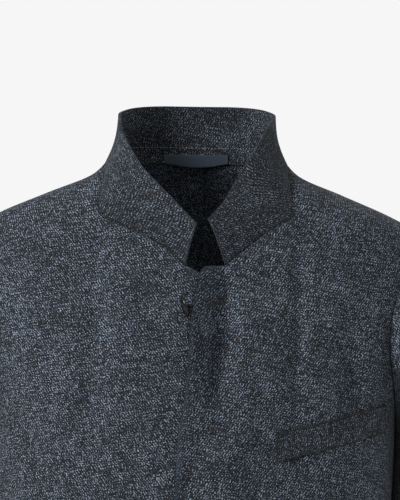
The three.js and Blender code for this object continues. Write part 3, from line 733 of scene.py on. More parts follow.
# %% Edge wear, painted highlight and painted seam shade as a node group
# How far a free edge goes paler (wear and painted highlight), and a seam towards black (painted shade).
HIGHLIGHT_AND_WEAR_MOST, PAINTED_SHADE_MOST, SEAM_SHADE = 0.55, 0.5, (0.001, 0.001, 0.0015, 1)


def edge_light_and_wear_group():
    """Cloth paler at a turned edge, from wear and a painted highlight, with painted shade in a seam's dip."""
    group = bpy.data.node_groups.new("edge_light_and_wear", "ShaderNodeTree")
    face = group.interface
    face.new_socket(name="Color", in_out="INPUT", socket_type="NodeSocketColor")
    face.new_socket(name="Painted_Light_And_Wear", in_out="INPUT", socket_type="NodeSocketFloat")
    face.new_socket(name="Lit_And_Worn", in_out="INPUT", socket_type="NodeSocketColor")
    face.new_socket(name="Color", in_out="OUTPUT", socket_type="NodeSocketColor")
    start, end = group.nodes.new("NodeGroupInput"), group.nodes.new("NodeGroupOutput")
    wear_and_painted_light = start.outputs["Painted_Light_And_Wear"]
    highlight_and_wear_share = maths(group, "MAXIMUM", wear_and_painted_light, 0.0)
    painted_seam_shade = maths(group, "MAXIMUM", maths(group, "MULTIPLY", wear_and_painted_light, -1.0), 0.0)
    rubbed = blend(
        group, maths(group, "MULTIPLY", highlight_and_wear_share, HIGHLIGHT_AND_WEAR_MOST),
        start.outputs["Color"], start.outputs["Lit_And_Worn"])
    painted_shade = blend(group, maths(group, "MULTIPLY", painted_seam_shade, PAINTED_SHADE_MOST), rubbed, SEAM_SHADE)
    group.links.new(painted_shade, end.inputs["Color"])
    return group


edge_light_and_wear = edge_light_and_wear_group()
print("edge group sockets:", [s.name for s in edge_light_and_wear.interface.items_tree])

# %% [markdown]
# ## The cloth materials
#
# The weave is laid by the flat place of each point, and its depth by the place from front to back, so
# that the two faces of one cloth differ. The collar and the welt get a darker copy of the same cloth,
# which is painted shade, so they have their own values.

# %% Cloth for the body, the collar and the welt
GROUND, FLECK = (0.0067, 0.0097, 0.0153), (0.3, 0.36, 0.43)
HIGHLIGHT_AND_WEAR_PALER, RELIEF_DEPTH = 4, 0.4


def cloth_material(name, ground, fleck, contrast, roughness=0.92, sheen=0.05, bump=0.45):
    material, tree, shader = new_material(name, roughness, sheen)
    on_cloth = add(tree, "ShaderNodeSeparateXYZ", [(0, grain_place(tree))])
    in_room = add(tree, "ShaderNodeSeparateXYZ", [(0, add(tree, "ShaderNodeTexCoord").outputs["Object"])])
    place = add(tree, "ShaderNodeCombineXYZ", [
        (0, on_cloth.outputs[0]), (1, on_cloth.outputs[1]), (2, in_room.outputs[1])])
    twill = add(tree, "ShaderNodeGroup", node_tree=weave)
    tree.links.new(place.outputs[0], twill.inputs["Flat Place"])
    for socket, value in (("Ground", ground), ("Fleck", fleck)):
        twill.inputs[socket].default_value = (*value, 1)
    twill.inputs["Contrast"].default_value = contrast
    # The mark makes free edges paler, as wear and a painted highlight, and seams darker as painted shade.
    mark = tree.nodes.new("ShaderNodeAttribute")
    mark.attribute_name = "wear_and_painted_light"
    edge = add(tree, "ShaderNodeGroup", node_tree=edge_light_and_wear)
    tree.links.new(twill.outputs["Color"], edge.inputs["Color"])
    tree.links.new(mark.outputs["Fac"], edge.inputs["Painted_Light_And_Wear"])
    edge.inputs["Lit_And_Worn"].default_value = (*(HIGHLIGHT_AND_WEAR_PALER * g for g in ground), 1)
    tree.links.new(edge.outputs["Color"], shader.inputs["Base Color"])
    raise_relief(tree, shader, twill.outputs["Height"], bump, RELIEF_DEPTH * MM)
    return material


def scaled(colour, share):
    return tuple(share * channel for channel in colour)


twill_cloth = cloth_material("slate_twill", GROUND, FLECK, 5.5)
# A darker copy of the cloth: painted shade for the collar and the welt.
painted_shade_twill = cloth_material("slate_twill_painted_shade", scaled(GROUND, 0.55), scaled(FLECK, 0.8), 5.2)
print("cloth materials:", twill_cloth.name, "and", painted_shade_twill.name)

# %% [markdown]
# ## The four body panels
#
# Fronts and backs are cut as four pieces and sewn at the shoulders, sides and centre back. Each is
# made as one wall of cloth, two millimetres thick, with a hair's gap at its seams so that the seam
# shows as a fine line. Behind the gap the inner faces lap over each other, so no light comes through.

# %% Make the body panels
CLOTH = 2
SEAM_OVERLAP = -0.35
for name, (outer, normals, place) in panels.items():
    edges = ("top", "start", "end") if name.startswith("back") else ("top", "end")
    inner = pulled_in(outer - normals * CLOTH, edges, SEAM_OVERLAP)
    free = ("low",) if name.startswith("back") else ("low", "start")
    # Free edges go paler, as wear and painted highlight, most along the fronts; seams get painted shade.
    piece = wall(
        f"{name}_cloth", pulled_in(outer, edges), inner, place, twill_cloth,
        free=free, seams=edges, dips=edges[:-1], roll=FRONT_ROLL, rub=FRONT_HIGHLIGHT_AND_WEAR,
        lap=0 if name.startswith("back") else LAP_COLUMNS,
    )
    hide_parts(name)
    cut = (0.26, 0.76) if name.startswith("front") else (0.245, 0.735)

# %% [markdown]
# ## The stand collar
#
# A stand collar is one stiffened band sewn to the neck seam. It leans inward at the back and opens
# to a V in front, where the band's own top edge makes the V. It is built as straight lines from the
# seam up to a measured top edge, bowed out slightly, as stiff cloth is.

# %% Collar sizes and band
back_edge = (
    (0.5, 76.5, 5, 56.5), (0.6, 68, 23, 62.3), (0.72, 50, 38, 65.8), (0.86, 24, 47.5, 67), (1, 0, 50, 67),
)
under_edge = table(
    "share across depth height",
    (0, -1, -93, -48.8), (0.04, 6.5, -89.5, -41), (0.077, 24.5, -80.5, -22.6), (0.115, 39, -71, -8),
    (0.154, 49, -62, 2.4), (0.23, 60, -47, 18.5), (0.31, 68.5, -31, 32), (0.4, 75.5, -13, 46.5), *back_edge,
)
over_edge = table(
    "share across depth height",
    (0, 12.8, -97, -44), (0.04, 15.5, -94.5, -40.5), (0.077, 28, -85, -25), (0.115, 35, -78, -12.4),
    (0.154, 41, -71, -2.5), (0.23, 51.5, -58, 14.4), (0.31, 60, -44, 28), (0.4, 70, -22, 46), *back_edge,
)
COLLAR_CLOTH, COLLAR_ROWS = 3, 26
collar_bulge = table(
    "share out", (0, 2.5), (0.22, 2), (0.38, -2), (0.5, -3), (0.62, -1), (0.8, 2), (1, 2.5))


def grid_normals(grid, is_ring=False):
    if is_ring:
        across = np.roll(grid, -1, 1) - np.roll(grid, 1, 1)
    else:
        across = np.gradient(grid, axis=1)
    return unit(np.cross(across, np.gradient(grid, axis=0)))


def collar_half(side, edge, front, back):
    front_top, back_top = front[0][-1, LAP_COLUMNS:], back[0][-1]
    share = np.concatenate([
        0.5 * close_to_ends(FRONT_COLUMNS), 0.5 + 0.5 * close_to_ends(BACK_COLUMNS)[1:]])
    base = np.concatenate([front_top, back_top[::-1][1:]])
    top = np.stack([side * curve(edge, "share", "across")(share), *(
        curve(edge, "share", name)(share) for name in ("depth", "height"))], -1)
    return base, top, curve(collar_bulge, "share", "out")(share)


right_half = collar_half(-1, under_edge, panels["front_right"], panels["back_right"])
left_half = collar_half(1, over_edge, panels["front_left"], panels["back_left"])
base, top, bulge = (np.concatenate([a, b[::-1][1:]]) for a, b in zip(left_half, right_half))
rise = close_to_ends(COLLAR_ROWS)[:, None, None]
straight = mix(base[None], top[None], rise)
collar_outer = straight + grid_normals(straight) * bulge[None, :, None] * np.sin(math.pi * rise)
collar_inner = collar_outer - grid_normals(collar_outer) * COLLAR_CLOTH
# The collar's darker cloth is painted shade; its free edges go paler (wear and painted highlight) and its
# seam gets painted shade.
collar = wall(
    "stand_collar_cloth", pulled_in(collar_outer, ("low",)),
    pulled_in(collar_inner, ("low",), SEAM_OVERLAP), flat_place(collar_outer), painted_shade_twill,
    round_edge=0.9, free=("top", "start", "end"), seams=("low",), dips=("low",),
)
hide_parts("stand_collar")

# %% [markdown]
# ## Two-piece sleeves
#
# A tailored sleeve has a wide top half and a narrow under half, joined by a front and a back seam,
# and it bends forward a little at the elbow. Rings along the arm give its form, and the first rings
# blend into the real armhole, so sleeve and body meet all round.

# %% Sleeve form
sleeve_rings = table(
    "share inX inZ outX outZ half centre",
    (0, 195.5, -230, 218, -56, 64, 0),
    (0.03, 196.3, -233, 236, -64, 69, 0),
    (0.06, 196.6, -237, 251, -82, 73, 0),
    (0.1, 196.4, -242, 262, -110, 75, 3),
    (0.15, 196, -250, 270, -150, 75, 8),
    (0.21, 195.4, -265, 276, -200, 74, 14),
    (0.29, 194.6, -292, 281, -256, 71, 18),
    (0.38, 193, -335, 285, -312, 67, 18),
    (0.5, 191.5, -398, 291, -388, 62, 14),
    (0.61, 195, -455, 295, -452, 58, 3),
    (0.76, 208, -540, 299, -543, 54, -15),
    (1, 223, -664, 304, -670, 49, -46),
)
ring = {name: curve(sleeve_rings, "share", name) for name in list(sleeve_rings)[1:]}
SLEEVE_FOLD_COLUMNS = "share turn reach spread slant out"
sleeve_folds = table(
    SLEEVE_FOLD_COLUMNS,
    (0.3, 100, 0.035, 60, 0.06, -2.5),
    (0.44, 60, 0.03, 50, 0.05, -3.5),
    (0.5, 75, 0.025, 55, 0.04, 2.5),
    (0.56, 55, 0.03, 50, 0.03, -4),
    (0.66, 85, 0.035, 60, 0.05, -2.5),
    (0.53, 265, 0.05, 45, -0.04, 2.5),
    (0.8, 250, 0.05, 60, -0.06, -2.5),
)
sleeve_creases = table(
    SLEEVE_FOLD_COLUMNS,
    (0.24, 120, 0.012, 40, 0.05, -1.4),
    (0.36, 80, 0.012, 34, 0.03, -1.5),
    (0.47, 50, 0.011, 30, 0.04, -2),
    (0.53, 95, 0.012, 34, -0.03, -1.7),
    (0.6, 40, 0.012, 30, 0.03, -2),
    (0.62, 230, 0.02, 40, -0.05, -1.6),
    (0.42, 240, 0.02, 40, 0.05, -1.4),
    (0.74, 120, 0.016, 36, -0.04, -1.4),
    (0.9, 70, 0.018, 44, 0.03, -1.2),
    (0.075, 0, 0.05, 34, 0, 1.5),
    (0.075, 360, 0.05, 34, 0, 1.5),
)


# %% [markdown]
# ## From rings to a sleeve
#
# Each ring is an oval between the inner and the outer line of the arm. The folds are placed on it by
# their share of the arm's length and their angle round it, as the cloth gathers inside the elbow.

# %% Rings round the arm, and their folds
SLEEVE_GAP, BLEND_TO, ARMHOLE_TUCK = 0.6, 0.2, 2


def ring_point(share, around):
    low, high = (
        np.stack(np.broadcast_arrays(*(ring[name](share) for name in names.split())), -1)
        for names in ("inX centre inZ", "outX centre outZ"))
    point = mix(low, high, ((1 - np.cos(around)) / 2)[..., None])
    point[..., 1] -= ring["half"](share) * np.sin(around)
    return point


def armhole_points(side, around):
    is_back = around > math.pi
    mirrored = np.where(is_back, 2 * math.pi - around, around)
    front_turn, height = armhole_place(mirrored, False)
    back_turn, _ = armhole_place(mirrored, True)
    point, _ = body_cloth(side, np.where(is_back, back_turn, front_turn), height)
    return point * (side, 1, 1) + (SLEEVE_GAP, 0, 0)


def sleeve_lift(folds, share, around):
    lift = 0
    for s, turn, reach, spread, slant, out in zip(*folds.values()):
        t = (around - math.radians(turn)) / math.radians(spread)
        along = (share - s - slant * t) / reach
        lift = lift + out * np.exp(-t * t - along * along)
    return lift


RING_COUNT = 144
around = 2 * math.pi * np.arange(RING_COUNT) / RING_COUNT
sleeve_share = np.concatenate([np.linspace(0, BLEND_TO, 44)[:-1], np.linspace(BLEND_TO, 1, 120)])


def sleeve_grids(side):
    share, turn = sleeve_share[:, None], around[None, :]
    plain = ring_point(share + 0 * turn, turn + 0 * share)
    saddle = armhole_points(side, around) - ring_point(0 * around, around)
    keep = (1 - smooth(sleeve_share, 0, BLEND_TO)) ** 1.5
    plain = plain + saddle[None] * keep[:, None, None]
    lift = sleeve_lift(sleeve_folds, share, turn) + sleeve_lift(sleeve_creases, share, turn)
    wave = np.sin(share * 46 + np.sin(turn * 2)) * np.sin(turn * 3 + share * 17)
    lift = lift + 0.5 * wave * smooth(share, 0.02, 0.1)
    outer = plain - grid_normals(plain, True) * lift[..., None]
    inner = outer + grid_normals(outer, True) * CLOTH
    inner[0, :, 0] += ARMHOLE_TUCK
    return outer * (side, 1, 1), inner * (side, 1, 1)


print("sleeve grid:", len(sleeve_share), "rings of", RING_COUNT, "points")


# %% [markdown]
# ## Two cuts down the sleeve
#
# Both halves are taken from one grid at the same columns, so that their edges fit each other. Two
# separate surfaces would have to be matched by hand at both seams.

# %% Cut each sleeve into its two halves
FRONT_SEAM, BACK_SEAM = RING_COUNT * 4 // 24, RING_COUNT * 19 // 24
for side, name in ((1, "left"), (-1, "right")):
    outer, inner = sleeve_grids(side)
    parts = {
        "top_sleeve": (np.arange(FRONT_SEAM, BACK_SEAM + 1), (0.235, 0.65)),
        "under_sleeve": (np.arange(BACK_SEAM - RING_COUNT, FRONT_SEAM + 1), (0.17, 0.5)),
    }
    for part, (columns, cut) in parts.items():
        o, i = outer[:, columns], inner[:, columns]
        edges = ("start", "end")
        i = pulled_in(i, edges, SEAM_OVERLAP)
        piece = wall(
            f"{part}_{name}_cloth", pulled_in(o, edges), i, flat_place(o), twill_cloth,
            free=("top",), seams=("start", "end", "low"),
        )
        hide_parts(f"{part}_{name}")

# %% [markdown]
# ## The chest welt
#
# A welt is a folded strip that stands over the pocket's slit. It lies on the front, so its points
# are the front's own points moved out, and it has a crisp fold along its upper edge.

# %% Make the welt
WELT_INNER, WELT_OUTER, WELT_HEIGHT, WELT_CLOTH = (78.7, -244.2), (182, -218.6), 27, 1.6
WELT_GAP, WELT_LIP = 0.3, 1.1
welt_slope = (WELT_OUTER[1] - WELT_INNER[1]) / (WELT_OUTER[0] - WELT_INNER[0])
welt_across = mix(WELT_INNER[0], WELT_OUTER[0], close_to_ends(60))[None, :]
welt_up = close_to_ends(18)[:, None]
welt_z = WELT_INNER[1] + welt_slope * (welt_across - WELT_INNER[0]) - WELT_HEIGHT * (1 - welt_up)


def on_front(side, x, z, lift=None):
    """A point of a front's cloth that lies at x and z, and its normal."""
    across, height = side * x + 0 * z, z + 0 * x
    for _ in range(8):
        point, normal = body_cloth(side, turn_at(across, height, False), height, lift)
        across = across + side * (x - point[..., 0])
        height = height + (z - point[..., 2])
    return point, normal


welt_point, welt_normal = on_front(1, welt_across, welt_z, lap_lift)
lip = WELT_LIP * smooth(welt_up, 0.6, 1)[..., None]
# The welt gets the darker cloth, which is painted shade, and extra painted shade along all four edges.
welt = wall(
    "chest_welt_cloth", welt_point + welt_normal * (WELT_GAP + WELT_CLOTH + lip),
    welt_point + welt_normal * WELT_GAP,
    flat_place(welt_point, -math.atan(welt_slope)) * (-1, 1), painted_shade_twill, round_edge=0.5,
    seams=("low", "top", "start", "end"), shade=1.7,
)
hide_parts("chest_pocket_welt")
print("welt runs", round(float(welt_across[0, -1] - welt_across[0, 0])), "mm across")

# %% [markdown]
# ## Sewing that shows
#
# Little of the sewing shows on this jacket: the worked buttonhole in the left front, a row of pick
# stitches round the inside of the collar, and the tacks that hold the welt's ends. Each stitch is a
# small rounded grain lying on the cloth, so a row of them is one mesh made from places and ways.


# %% Rows of stitches
def thread_material(name, colour):
    material, tree, shader = new_material(name, 0.7, 0.1)
    place = add(tree, "ShaderNodeTexCoord").outputs["Object"]
    twist = noise_at(tree, place, scale=1800.0)
    tint(tree, shader, twist, scaled(colour, 0.5), colour)
    raise_relief(tree, shader, twist, 0.4, 0.1 * MM)
    return material


STITCH_RINGS, STITCH_SIDES = ((-0.44, 0.55), (-0.3, 0.95), (0.3, 0.95), (0.44, 0.55)), 6


def stitch_row(name, middles, ways, normals, length, thick, material):
    ways = unit(ways)
    normals = unit(normals - ways * (normals * ways).sum(-1, keepdims=True))
    aside = np.cross(normals, ways)
    angle = 2 * math.pi * np.arange(STITCH_SIDES) / STITCH_SIDES
    rim = np.cos(angle)[:, None, None] * aside + np.sin(angle)[:, None, None] * normals
    rings = [middles + ways * (at * length) + rim * (size * thick / 2) for at, size in STITCH_RINGS]
    ends = np.stack([middles - ways * (length / 2), middles + ways * (length / 2)])
    points = np.concatenate([*rings, ends])
    count, sides, last = len(middles), STITCH_SIDES, len(STITCH_RINGS) * STITCH_SIDES
    faces = []
    for k in range(sides):
        n = (k + 1) % sides
        faces += [(last, n, k), (last + 1, last - sides + k, last - sides + n)]
        faces += [(q + k, q + n, q + sides + n, q + sides + k) for q in range(0, last - sides, sides)]
    every = [[corner * count + i for corner in face] for i in range(count) for face in faces]
    piece = new_piece(name, points, every, material)
    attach(piece, "root")
    print(name, count, "stitches")
    return piece


brown_thread = thread_material("brown_thread", (0.045, 0.036, 0.032))
dark_thread = thread_material("dark_thread", (0.009, 0.0105, 0.013))
pale_thread = thread_material("slate_thread", (0.26, 0.3, 0.35))

# %% [markdown]
# ## A worked buttonhole
#
# Buttonhole stitches stand side by side across the slit's edges, a little open in its middle. They
# follow the front's own surface, so they lie on its folds.

# %% The buttonhole
HOLE_START, HOLE_END, HOLE_DROP, HOLE_OPEN = (14.5, -125), (31, -122.6), 1.6, 0.9
HOLE_LEAST, HOLE_THREAD = 0.5, 0.85
hole_share = np.linspace(0, 1, 24)
hole_x = mix(HOLE_START[0], HOLE_END[0], hole_share)
hole_z = mix(HOLE_START[1], HOLE_END[1], hole_share)
hole_half = HOLE_OPEN * np.sin(math.pi * hole_share) ** 0.5 + HOLE_LEAST
upper, upper_way = on_front(1, hole_x, hole_z + hole_half, lap_lift)
lower, lower_way = on_front(1, hole_x, hole_z - hole_half, lap_lift)
hole_middles, hole_normals = np.concatenate([upper, lower]), np.concatenate([upper_way, lower_way])
hole_ways = np.concatenate([upper - lower, lower - upper])
stitch_row(
    "buttonhole_stitches", hole_middles + 0.1 * hole_normals, hole_ways, hole_normals, HOLE_DROP,
    HOLE_THREAD, brown_thread)

# %% [markdown]
# ## Pick stitches and tacks
#
# A tailor pricks small even stitches along an edge to keep its layers together, and fixes a welt's
# ends with short bars. Both follow a line of the cloth's own grid, at a fixed distance.

# %% Pick stitches inside the collar, and the welt's end tacks
PICK_ROW, PICK_SPAN, PICK_EVERY, PICK_LENGTH, PICK_THICK = 9, slice(30, -30), 3.2, 1.6, 0.9
TACK_ROWS, TACK_COUNT, TACK_LIFT, TACK_LENGTH, TACK_THICK = (1, 17), 12, 0.25, 1.4, 0.6
pick_line = collar_inner[PICK_ROW, PICK_SPAN]
pick_steps = np.concatenate([[0], np.linalg.norm(np.diff(pick_line, axis=0), axis=1).cumsum()])
pick_at = np.arange(PICK_EVERY, pick_steps[-1], PICK_EVERY)


def along_line(values):
    return np.stack([np.interp(pick_at, pick_steps, values[:, k]) for k in range(3)], -1)


inward = along_line(unit(collar_inner - collar_outer)[PICK_ROW, PICK_SPAN])
stitch_row(
    "collar_pick_stitches", along_line(pick_line), along_line(np.gradient(pick_line, axis=0)), inward,
    PICK_LENGTH, PICK_THICK, pale_thread)
tack_rows = np.linspace(*TACK_ROWS, TACK_COUNT).astype(int)
for end, column in (("inner", 1), ("outer", -2)):
    middles = (welt_point + welt_normal * (TACK_LIFT + WELT_CLOTH))[tack_rows, column]
    across = (welt_point[:, 1:] - welt_point[:, :-1])[tack_rows, column]
    stitch_row(
        f"welt_tacks_{end}", middles, across, welt_normal[tack_rows, column], TACK_LENGTH, TACK_THICK,
        dark_thread)

# %% [markdown]
# ## The hanger loop
#
# A short strip of satin is sewn inside the back of the neck to hang the jacket up. Its ends lie flat
# on the collar seam and its middle bows away from the cloth. It is smooth and faintly lustrous, so
# it gets a finer, calmer weave than the wool.


# %% Satin and the loop
def satin_material(name, colour, roughness):
    material, tree, shader = new_material(name, roughness, 0.1)
    place = add(tree, "ShaderNodeMapping", [("Vector", grain_place(tree)), ("Scale", (180, 2600, 1))])
    threads = noise_at(tree, place.outputs[0], scale=1.0, detail=1.0)
    tint(tree, shader, threads, scaled(colour, 0.8), colour)
    raise_relief(tree, shader, threads, 0.2, 0.1 * MM)
    return material


loop_satin = satin_material("loop_satin", (0.029, 0.048, 0.07), 0.42)
print("loop material:", loop_satin.name)

# %% [markdown]
# ## Laying the loop on the collar
#
# The loop needs the collar's depth wherever it lies. That is read from the nearest points of the
# inner face, weighed by their distance, which is simpler than casting rays at a mesh.

# %% The loop on the collar's inner face
LOOP_LEFT, LOOP_RIGHT, LOOP_TOP, LOOP_LOW, LOOP_THICK = -32, 31, 19.5, 11, 1.2
LOOP_GAP, LOOP_BOW, LOOP_SAG = 0.3, 2.5, 4
inside = collar_inner[..., 1] > 0


def collar_wall_depth(x, z):
    depth = np.empty(np.broadcast(x, z).shape)
    for place in np.ndindex(depth.shape):
        px, pz = np.broadcast_to(x, depth.shape)[place], np.broadcast_to(z, depth.shape)[place]
        distance = (collar_inner[..., 0] - px) ** 2 + (collar_inner[..., 2] - pz) ** 2
        distance = np.where(inside, distance, 1e9)
        nearest = np.argpartition(distance.ravel(), 4)[:4]
        weight = 1 / (distance.ravel()[nearest] + 0.5)
        depth[place] = (collar_inner[..., 1].ravel()[nearest] * weight).sum() / weight.sum()
    return depth


loop_share, loop_up = close_to_ends(40)[None, :], np.linspace(0, 1, 8)[:, None]
hang = np.sin(math.pi * loop_share)
loop_x = mix(LOOP_LEFT, LOOP_RIGHT, loop_share) + 0 * loop_up
loop_z = mix(LOOP_LOW, LOOP_TOP, loop_up) + 0 * loop_share
loop_y = collar_wall_depth(loop_x, loop_z) - LOOP_GAP - LOOP_BOW * hang
loop_z = loop_z - LOOP_SAG * hang * (1 - loop_up)
loop_in = np.stack([loop_x, loop_y, loop_z], -1)
loop = wall(
    "hanger_loop_satin", loop_in - (0, LOOP_THICK, 0), loop_in, flat_place(loop_in), loop_satin, "loop", 0.3,
)
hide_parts("hanger_loop")
print("loop", round(LOOP_RIGHT - LOOP_LEFT), "mm long")

# %% [markdown]
# ## Buttons
#
# The top button is a dished disc of dark horn with four holes. It has swung on its thread and shows
# almost edge-on. A disc like this is turned on a lathe, so it is made as one turned profile; its
# holes and its thread are small separate meshes. Polished horn shows cloudy brown under a clear
# surface, so a coat lies over a very dark ground.


# %% Horn, and a painted shadow for the holes
def horn_material(name):
    material, tree, shader = new_material(name, 0.34)
    place = add(tree, "ShaderNodeTexCoord").outputs["Object"]
    clouds = noise_at(tree, place, scale=160.0, detail=4.0, distortion=1.4)
    tint(tree, shader, clouds, (0.0008, 0.0007, 0.0006), (0.008, 0.0055, 0.0032))
    shader.inputs["Coat Weight"].default_value = 1.0
    shader.inputs["Coat Roughness"].default_value = 0.26
    shader.inputs["Specular IOR Level"].default_value = 0.03
    shader.inputs["Coat IOR"].default_value = 1.42
    return material


def painted_shadow_material(name, colour):
    material, tree, shader = new_material(name, 0.9)
    place = add(tree, "ShaderNodeTexCoord").outputs["Object"]
    dust = noise_at(tree, place, scale=900.0)
    tint(tree, shader, dust, colour, scaled(colour, 3))
    return material


horn = horn_material("dark_horn")
for number in (1, 2, 3):
    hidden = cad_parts[f"fly_button_{number}"]
    hidden.data.materials.clear()
    hidden.data.materials.append(horn)
print("horn on", [m.name for m in hidden.data.materials])


# %% [markdown]
# ## Turning a disc
#
# A lathe cuts a round from a block along one profile. Here the profile is a short list of radii and
# heights that is carried round the axis, closed by a point in the middle of each face.

# %% A disc turned from its profile
HOLE_PROFILE = ((0, 0.03), (0.75, 0.03), (0.75, -0.03), (0, -0.03))


def turned(name, profile, material, segments=72):
    angle = 2 * math.pi * np.arange(segments) / segments
    profile = np.array(profile, float)
    points = [(0, 0, profile[0][1]), (0, 0, profile[-1][1])]
    ringed = profile[1:-1]
    for radius, height in ringed:
        points += [(radius * math.cos(a), radius * math.sin(a), height) for a in angle]
    faces = []
    for s in range(segments):
        n = (s + 1) % segments
        faces.append((0, 2 + n, 2 + s))
        last = 2 + (len(ringed) - 1) * segments
        faces.append((1, last + s, last + n))
        for r in range(len(ringed) - 1):
            a = 2 + r * segments
            faces.append((a + s, a + n, a + segments + n, a + segments + s))
    return new_piece(name, points, faces, material)


print("a hole's profile has", len(HOLE_PROFILE), "points")

# %% [markdown]
# The button hangs on a stalk of thread, pulled round by the cloth that it has come undone from. Its
# stalk is wound thread between the disc and the right front.

# %% The top button on its thread
BUTTON_X, BUTTON_Z, BUTTON_RADIUS, BUTTON_THICK = -9, -130.7, 11, 2.8
BUTTON_LEAN, BUTTON_OPEN = math.radians(16), math.radians(8)
BUTTON_PROFILE = (
    (0, 0.5), (6, 0.45), (7.4, 0.75), (8.4, 1.3), (9.3, 1.4), (10.1, 1.25), (10.6, 0.4), (11, -0.4),
    (10.9, -0.8), (10.2, -1.1), (9.2, -1.35), (5, -1.4), (0, -1.4),
)
BUTTON_CLEAR = 0.6
height = np.array(BUTTON_Z)
seat, seat_normal = body_cloth(-1, turn_at(np.array(-BUTTON_X), height, False), height)
stand_off = BUTTON_RADIUS * math.cos(BUTTON_OPEN) + BUTTON_THICK / 2 * math.sin(BUTTON_OPEN) + BUTTON_CLEAR
button_place = seat + seat_normal * stand_off
face_way = unit(np.array((
    -math.cos(BUTTON_LEAN) * math.cos(BUTTON_OPEN), -math.sin(BUTTON_OPEN),
    -math.sin(BUTTON_LEAN) * math.cos(BUTTON_OPEN),
)))


def set_facing(piece, place, facing):
    """Turns a piece's +Z to a direction and puts it in its place, in its own mesh."""
    side = unit(np.cross(facing, (0, 0, 1)))
    up = np.cross(side, facing)
    turn = np.stack([side, up, facing], 1)
    count = len(piece.data.vertices)
    points = np.empty(count * 3)
    piece.data.vertices.foreach_get("co", points)
    points = points.reshape(-1, 3) @ turn.T + np.array(place) * MM
    piece.data.vertices.foreach_set("co", points.ravel())
    piece.data.update()


button = turned("top_button_horn", BUTTON_PROFILE, horn)
set_facing(button, button_place, face_way)
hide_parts("top_button")
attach(button, "root")
print("button at", [round(float(v), 1) for v in button_place])

# %% [markdown]
# ## Holes, cross threads and stalk
#
# Holes that are cut through a mesh cost many faces and shade badly at this size. Here each hole is a
# small disc of painted shadow in the dish, with two bars of thread over them and a wound stalk behind.

# %% Its four holes and the thread through them
HOLE_FROM_CENTRE, FACE_DEPTH, BACK_DEPTH = 1.9, 0.5, -1.45
STALK_THREADS, STALK_RADIUS, STALK_THICK, BAR_THICK = 7, 0.7, 0.8, 0.7
side_way = unit(np.cross(face_way, (0, 0, 1)))
up_way = np.cross(side_way, face_way)
# Each hole is a near-black disc: painted shadow where the hole would lie in shade.
hole_painted_shadow = painted_shadow_material("hole_shadow", (0.001, 0.001, 0.001))
corners = np.array([(1, 1), (1, -1), (-1, -1), (-1, 1)]) * HOLE_FROM_CENTRE
hole_places = button_place + corners[:, :1] * side_way + corners[:, 1:] * up_way
for number, place in enumerate(hole_places):
    hole = turned(f"button_hole_{number + 1}", HOLE_PROFILE, hole_painted_shadow, 20)
    set_facing(hole, place + face_way * FACE_DEPTH, face_way)
    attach(hole, "root")
bars = (hole_places[[0, 1]] + hole_places[[3, 2]]) / 2 + face_way * (FACE_DEPTH + 0.1)
stitch_row(
    "button_cross_threads", bars, np.stack([side_way, side_way]), np.stack([face_way, face_way]),
    2 * HOLE_FROM_CENTRE, BAR_THICK, brown_thread)
stalk_top, stalk_end = button_place + face_way * BACK_DEPTH, seat + seat_normal * 0.2
spread = 2 * math.pi * np.arange(STALK_THREADS) / STALK_THREADS
stalk = stalk_end - stalk_top
wound = np.cos(spread)[:, None] * up_way + np.sin(spread)[:, None] * np.cross(unit(stalk), up_way)
stitch_row(
    "button_stalk", (stalk_top + stalk_end) / 2 + STALK_RADIUS * wound, np.tile(stalk, (STALK_THREADS, 1)),
    wound, float(np.linalg.norm(stalk)), STALK_THICK, brown_thread)

# %% [markdown]
# ## Where it is seen from
#
# The picture was taken from far away, almost level with the chest, with the camera rolled by less
# than a degree. A long lens keeps the sides of the jacket nearly parallel.

# %% Camera
camera_data = bpy.data.cameras.new("view")
camera_data.lens, camera_data.sensor_width = 222.8, 36
camera_data.clip_end = 50
camera = bpy.data.objects.new("view", camera_data)
camera.location = (0.00475, -3.0, -0.0741)
camera.rotation_euler = (math.pi / 2, math.radians(-0.8), 0)
bpy.context.scene.collection.objects.link(camera)
bpy.context.scene.camera = camera
print("camera at", [round(v, 3) for v in camera.location], "with a lens of", round(camera_data.lens), "mm")

# %% [markdown]
# ## Soft studio light
#
# The room is white. One large soft light stands high on the left, a weaker one high in front and a
# little to the right, and a weak one at the right side: the left of the picture is a little brighter
# than its right, and the inside of the collar falls into shade.


# %% Floor, room and lights
def plain_material(name, colour):
    material, tree, shader = new_material(name, 0.95)
    shader.inputs["Base Color"].default_value = (*colour, 1)
    return material


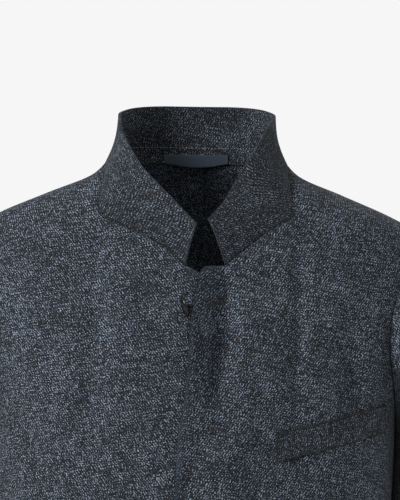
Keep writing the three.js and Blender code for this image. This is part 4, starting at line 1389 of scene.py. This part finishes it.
def stage_sheet(name, corners, material):
    mesh = bpy.data.meshes.new(name)
    mesh.from_pydata(corners, [], [(0, 1, 2, 3)])
    mesh.materials.append(material)
    piece = bpy.data.objects.new(name, mesh)
    bpy.context.scene.collection.objects.link(piece)


paper = plain_material("pale_paper", (0.9, 0.9, 0.9))
FLOOR = -0.95
stage_sheet("floor", [(-4, -4, FLOOR), (4, -4, FLOOR), (4, 4, FLOOR), (-4, 4, FLOOR)], paper)

world = bpy.data.worlds.new("white_room")
world.use_nodes = True
bpy.context.scene.world = world
sky = world.node_tree
way = add(sky, "ShaderNodeSeparateXYZ", [(0, add(sky, "ShaderNodeTexCoord").outputs["Generated"])])
BACKDROP, EVEN, FROM_LEFT, FROM_ABOVE, LEAST = 0.923, 0.16, -0.05, 0.2, 0.06
glow = maths(sky, "MULTIPLY_ADD", way.outputs[0], FROM_LEFT, EVEN)
glow = maths(sky, "MAXIMUM", maths(sky, "MULTIPLY_ADD", way.outputs[2], FROM_ABOVE, glow), LEAST)
is_backdrop = add(sky, "ShaderNodeLightPath").outputs["Is Camera Ray"]
seen = add(sky, "ShaderNodeMix", [(0, is_backdrop), (2, glow), (3, BACKDROP)])
sky.links.new(seen.outputs[0], sky.nodes["Background"].inputs[1])
sky.nodes["Background"].inputs[0].default_value = (1, 1, 1, 1)
bpy.context.scene.view_settings.view_transform = "Standard"


def soft_light(name, place, target, size, power):
    lamp = bpy.data.lights.new(name, "AREA")
    lamp.shape, lamp.size, lamp.energy = "SQUARE", size, power
    light = bpy.data.objects.new(name, lamp)
    way = np.array(target, float) - np.array(place, float)
    light.location = place
    light.rotation_euler = (
        math.atan2(math.hypot(way[0], way[1]), -way[2]), 0, math.atan2(way[1], way[0]) - math.pi / 2)
    bpy.context.scene.collection.objects.link(light)


soft_light("key", (-2.6, -1.75, 1.5), (0, 0, -0.1), 0.9, 104)
soft_light("front", (0.8, -2.6, 1.9), (0.1, 0, -0.1), 1.2, 10.5)
soft_light("side", (2.4, -0.1, 0.4), (0.1, 0, -0.2), 0.8, 10)
print("lights:", [lamp.name for lamp in bpy.data.lights])
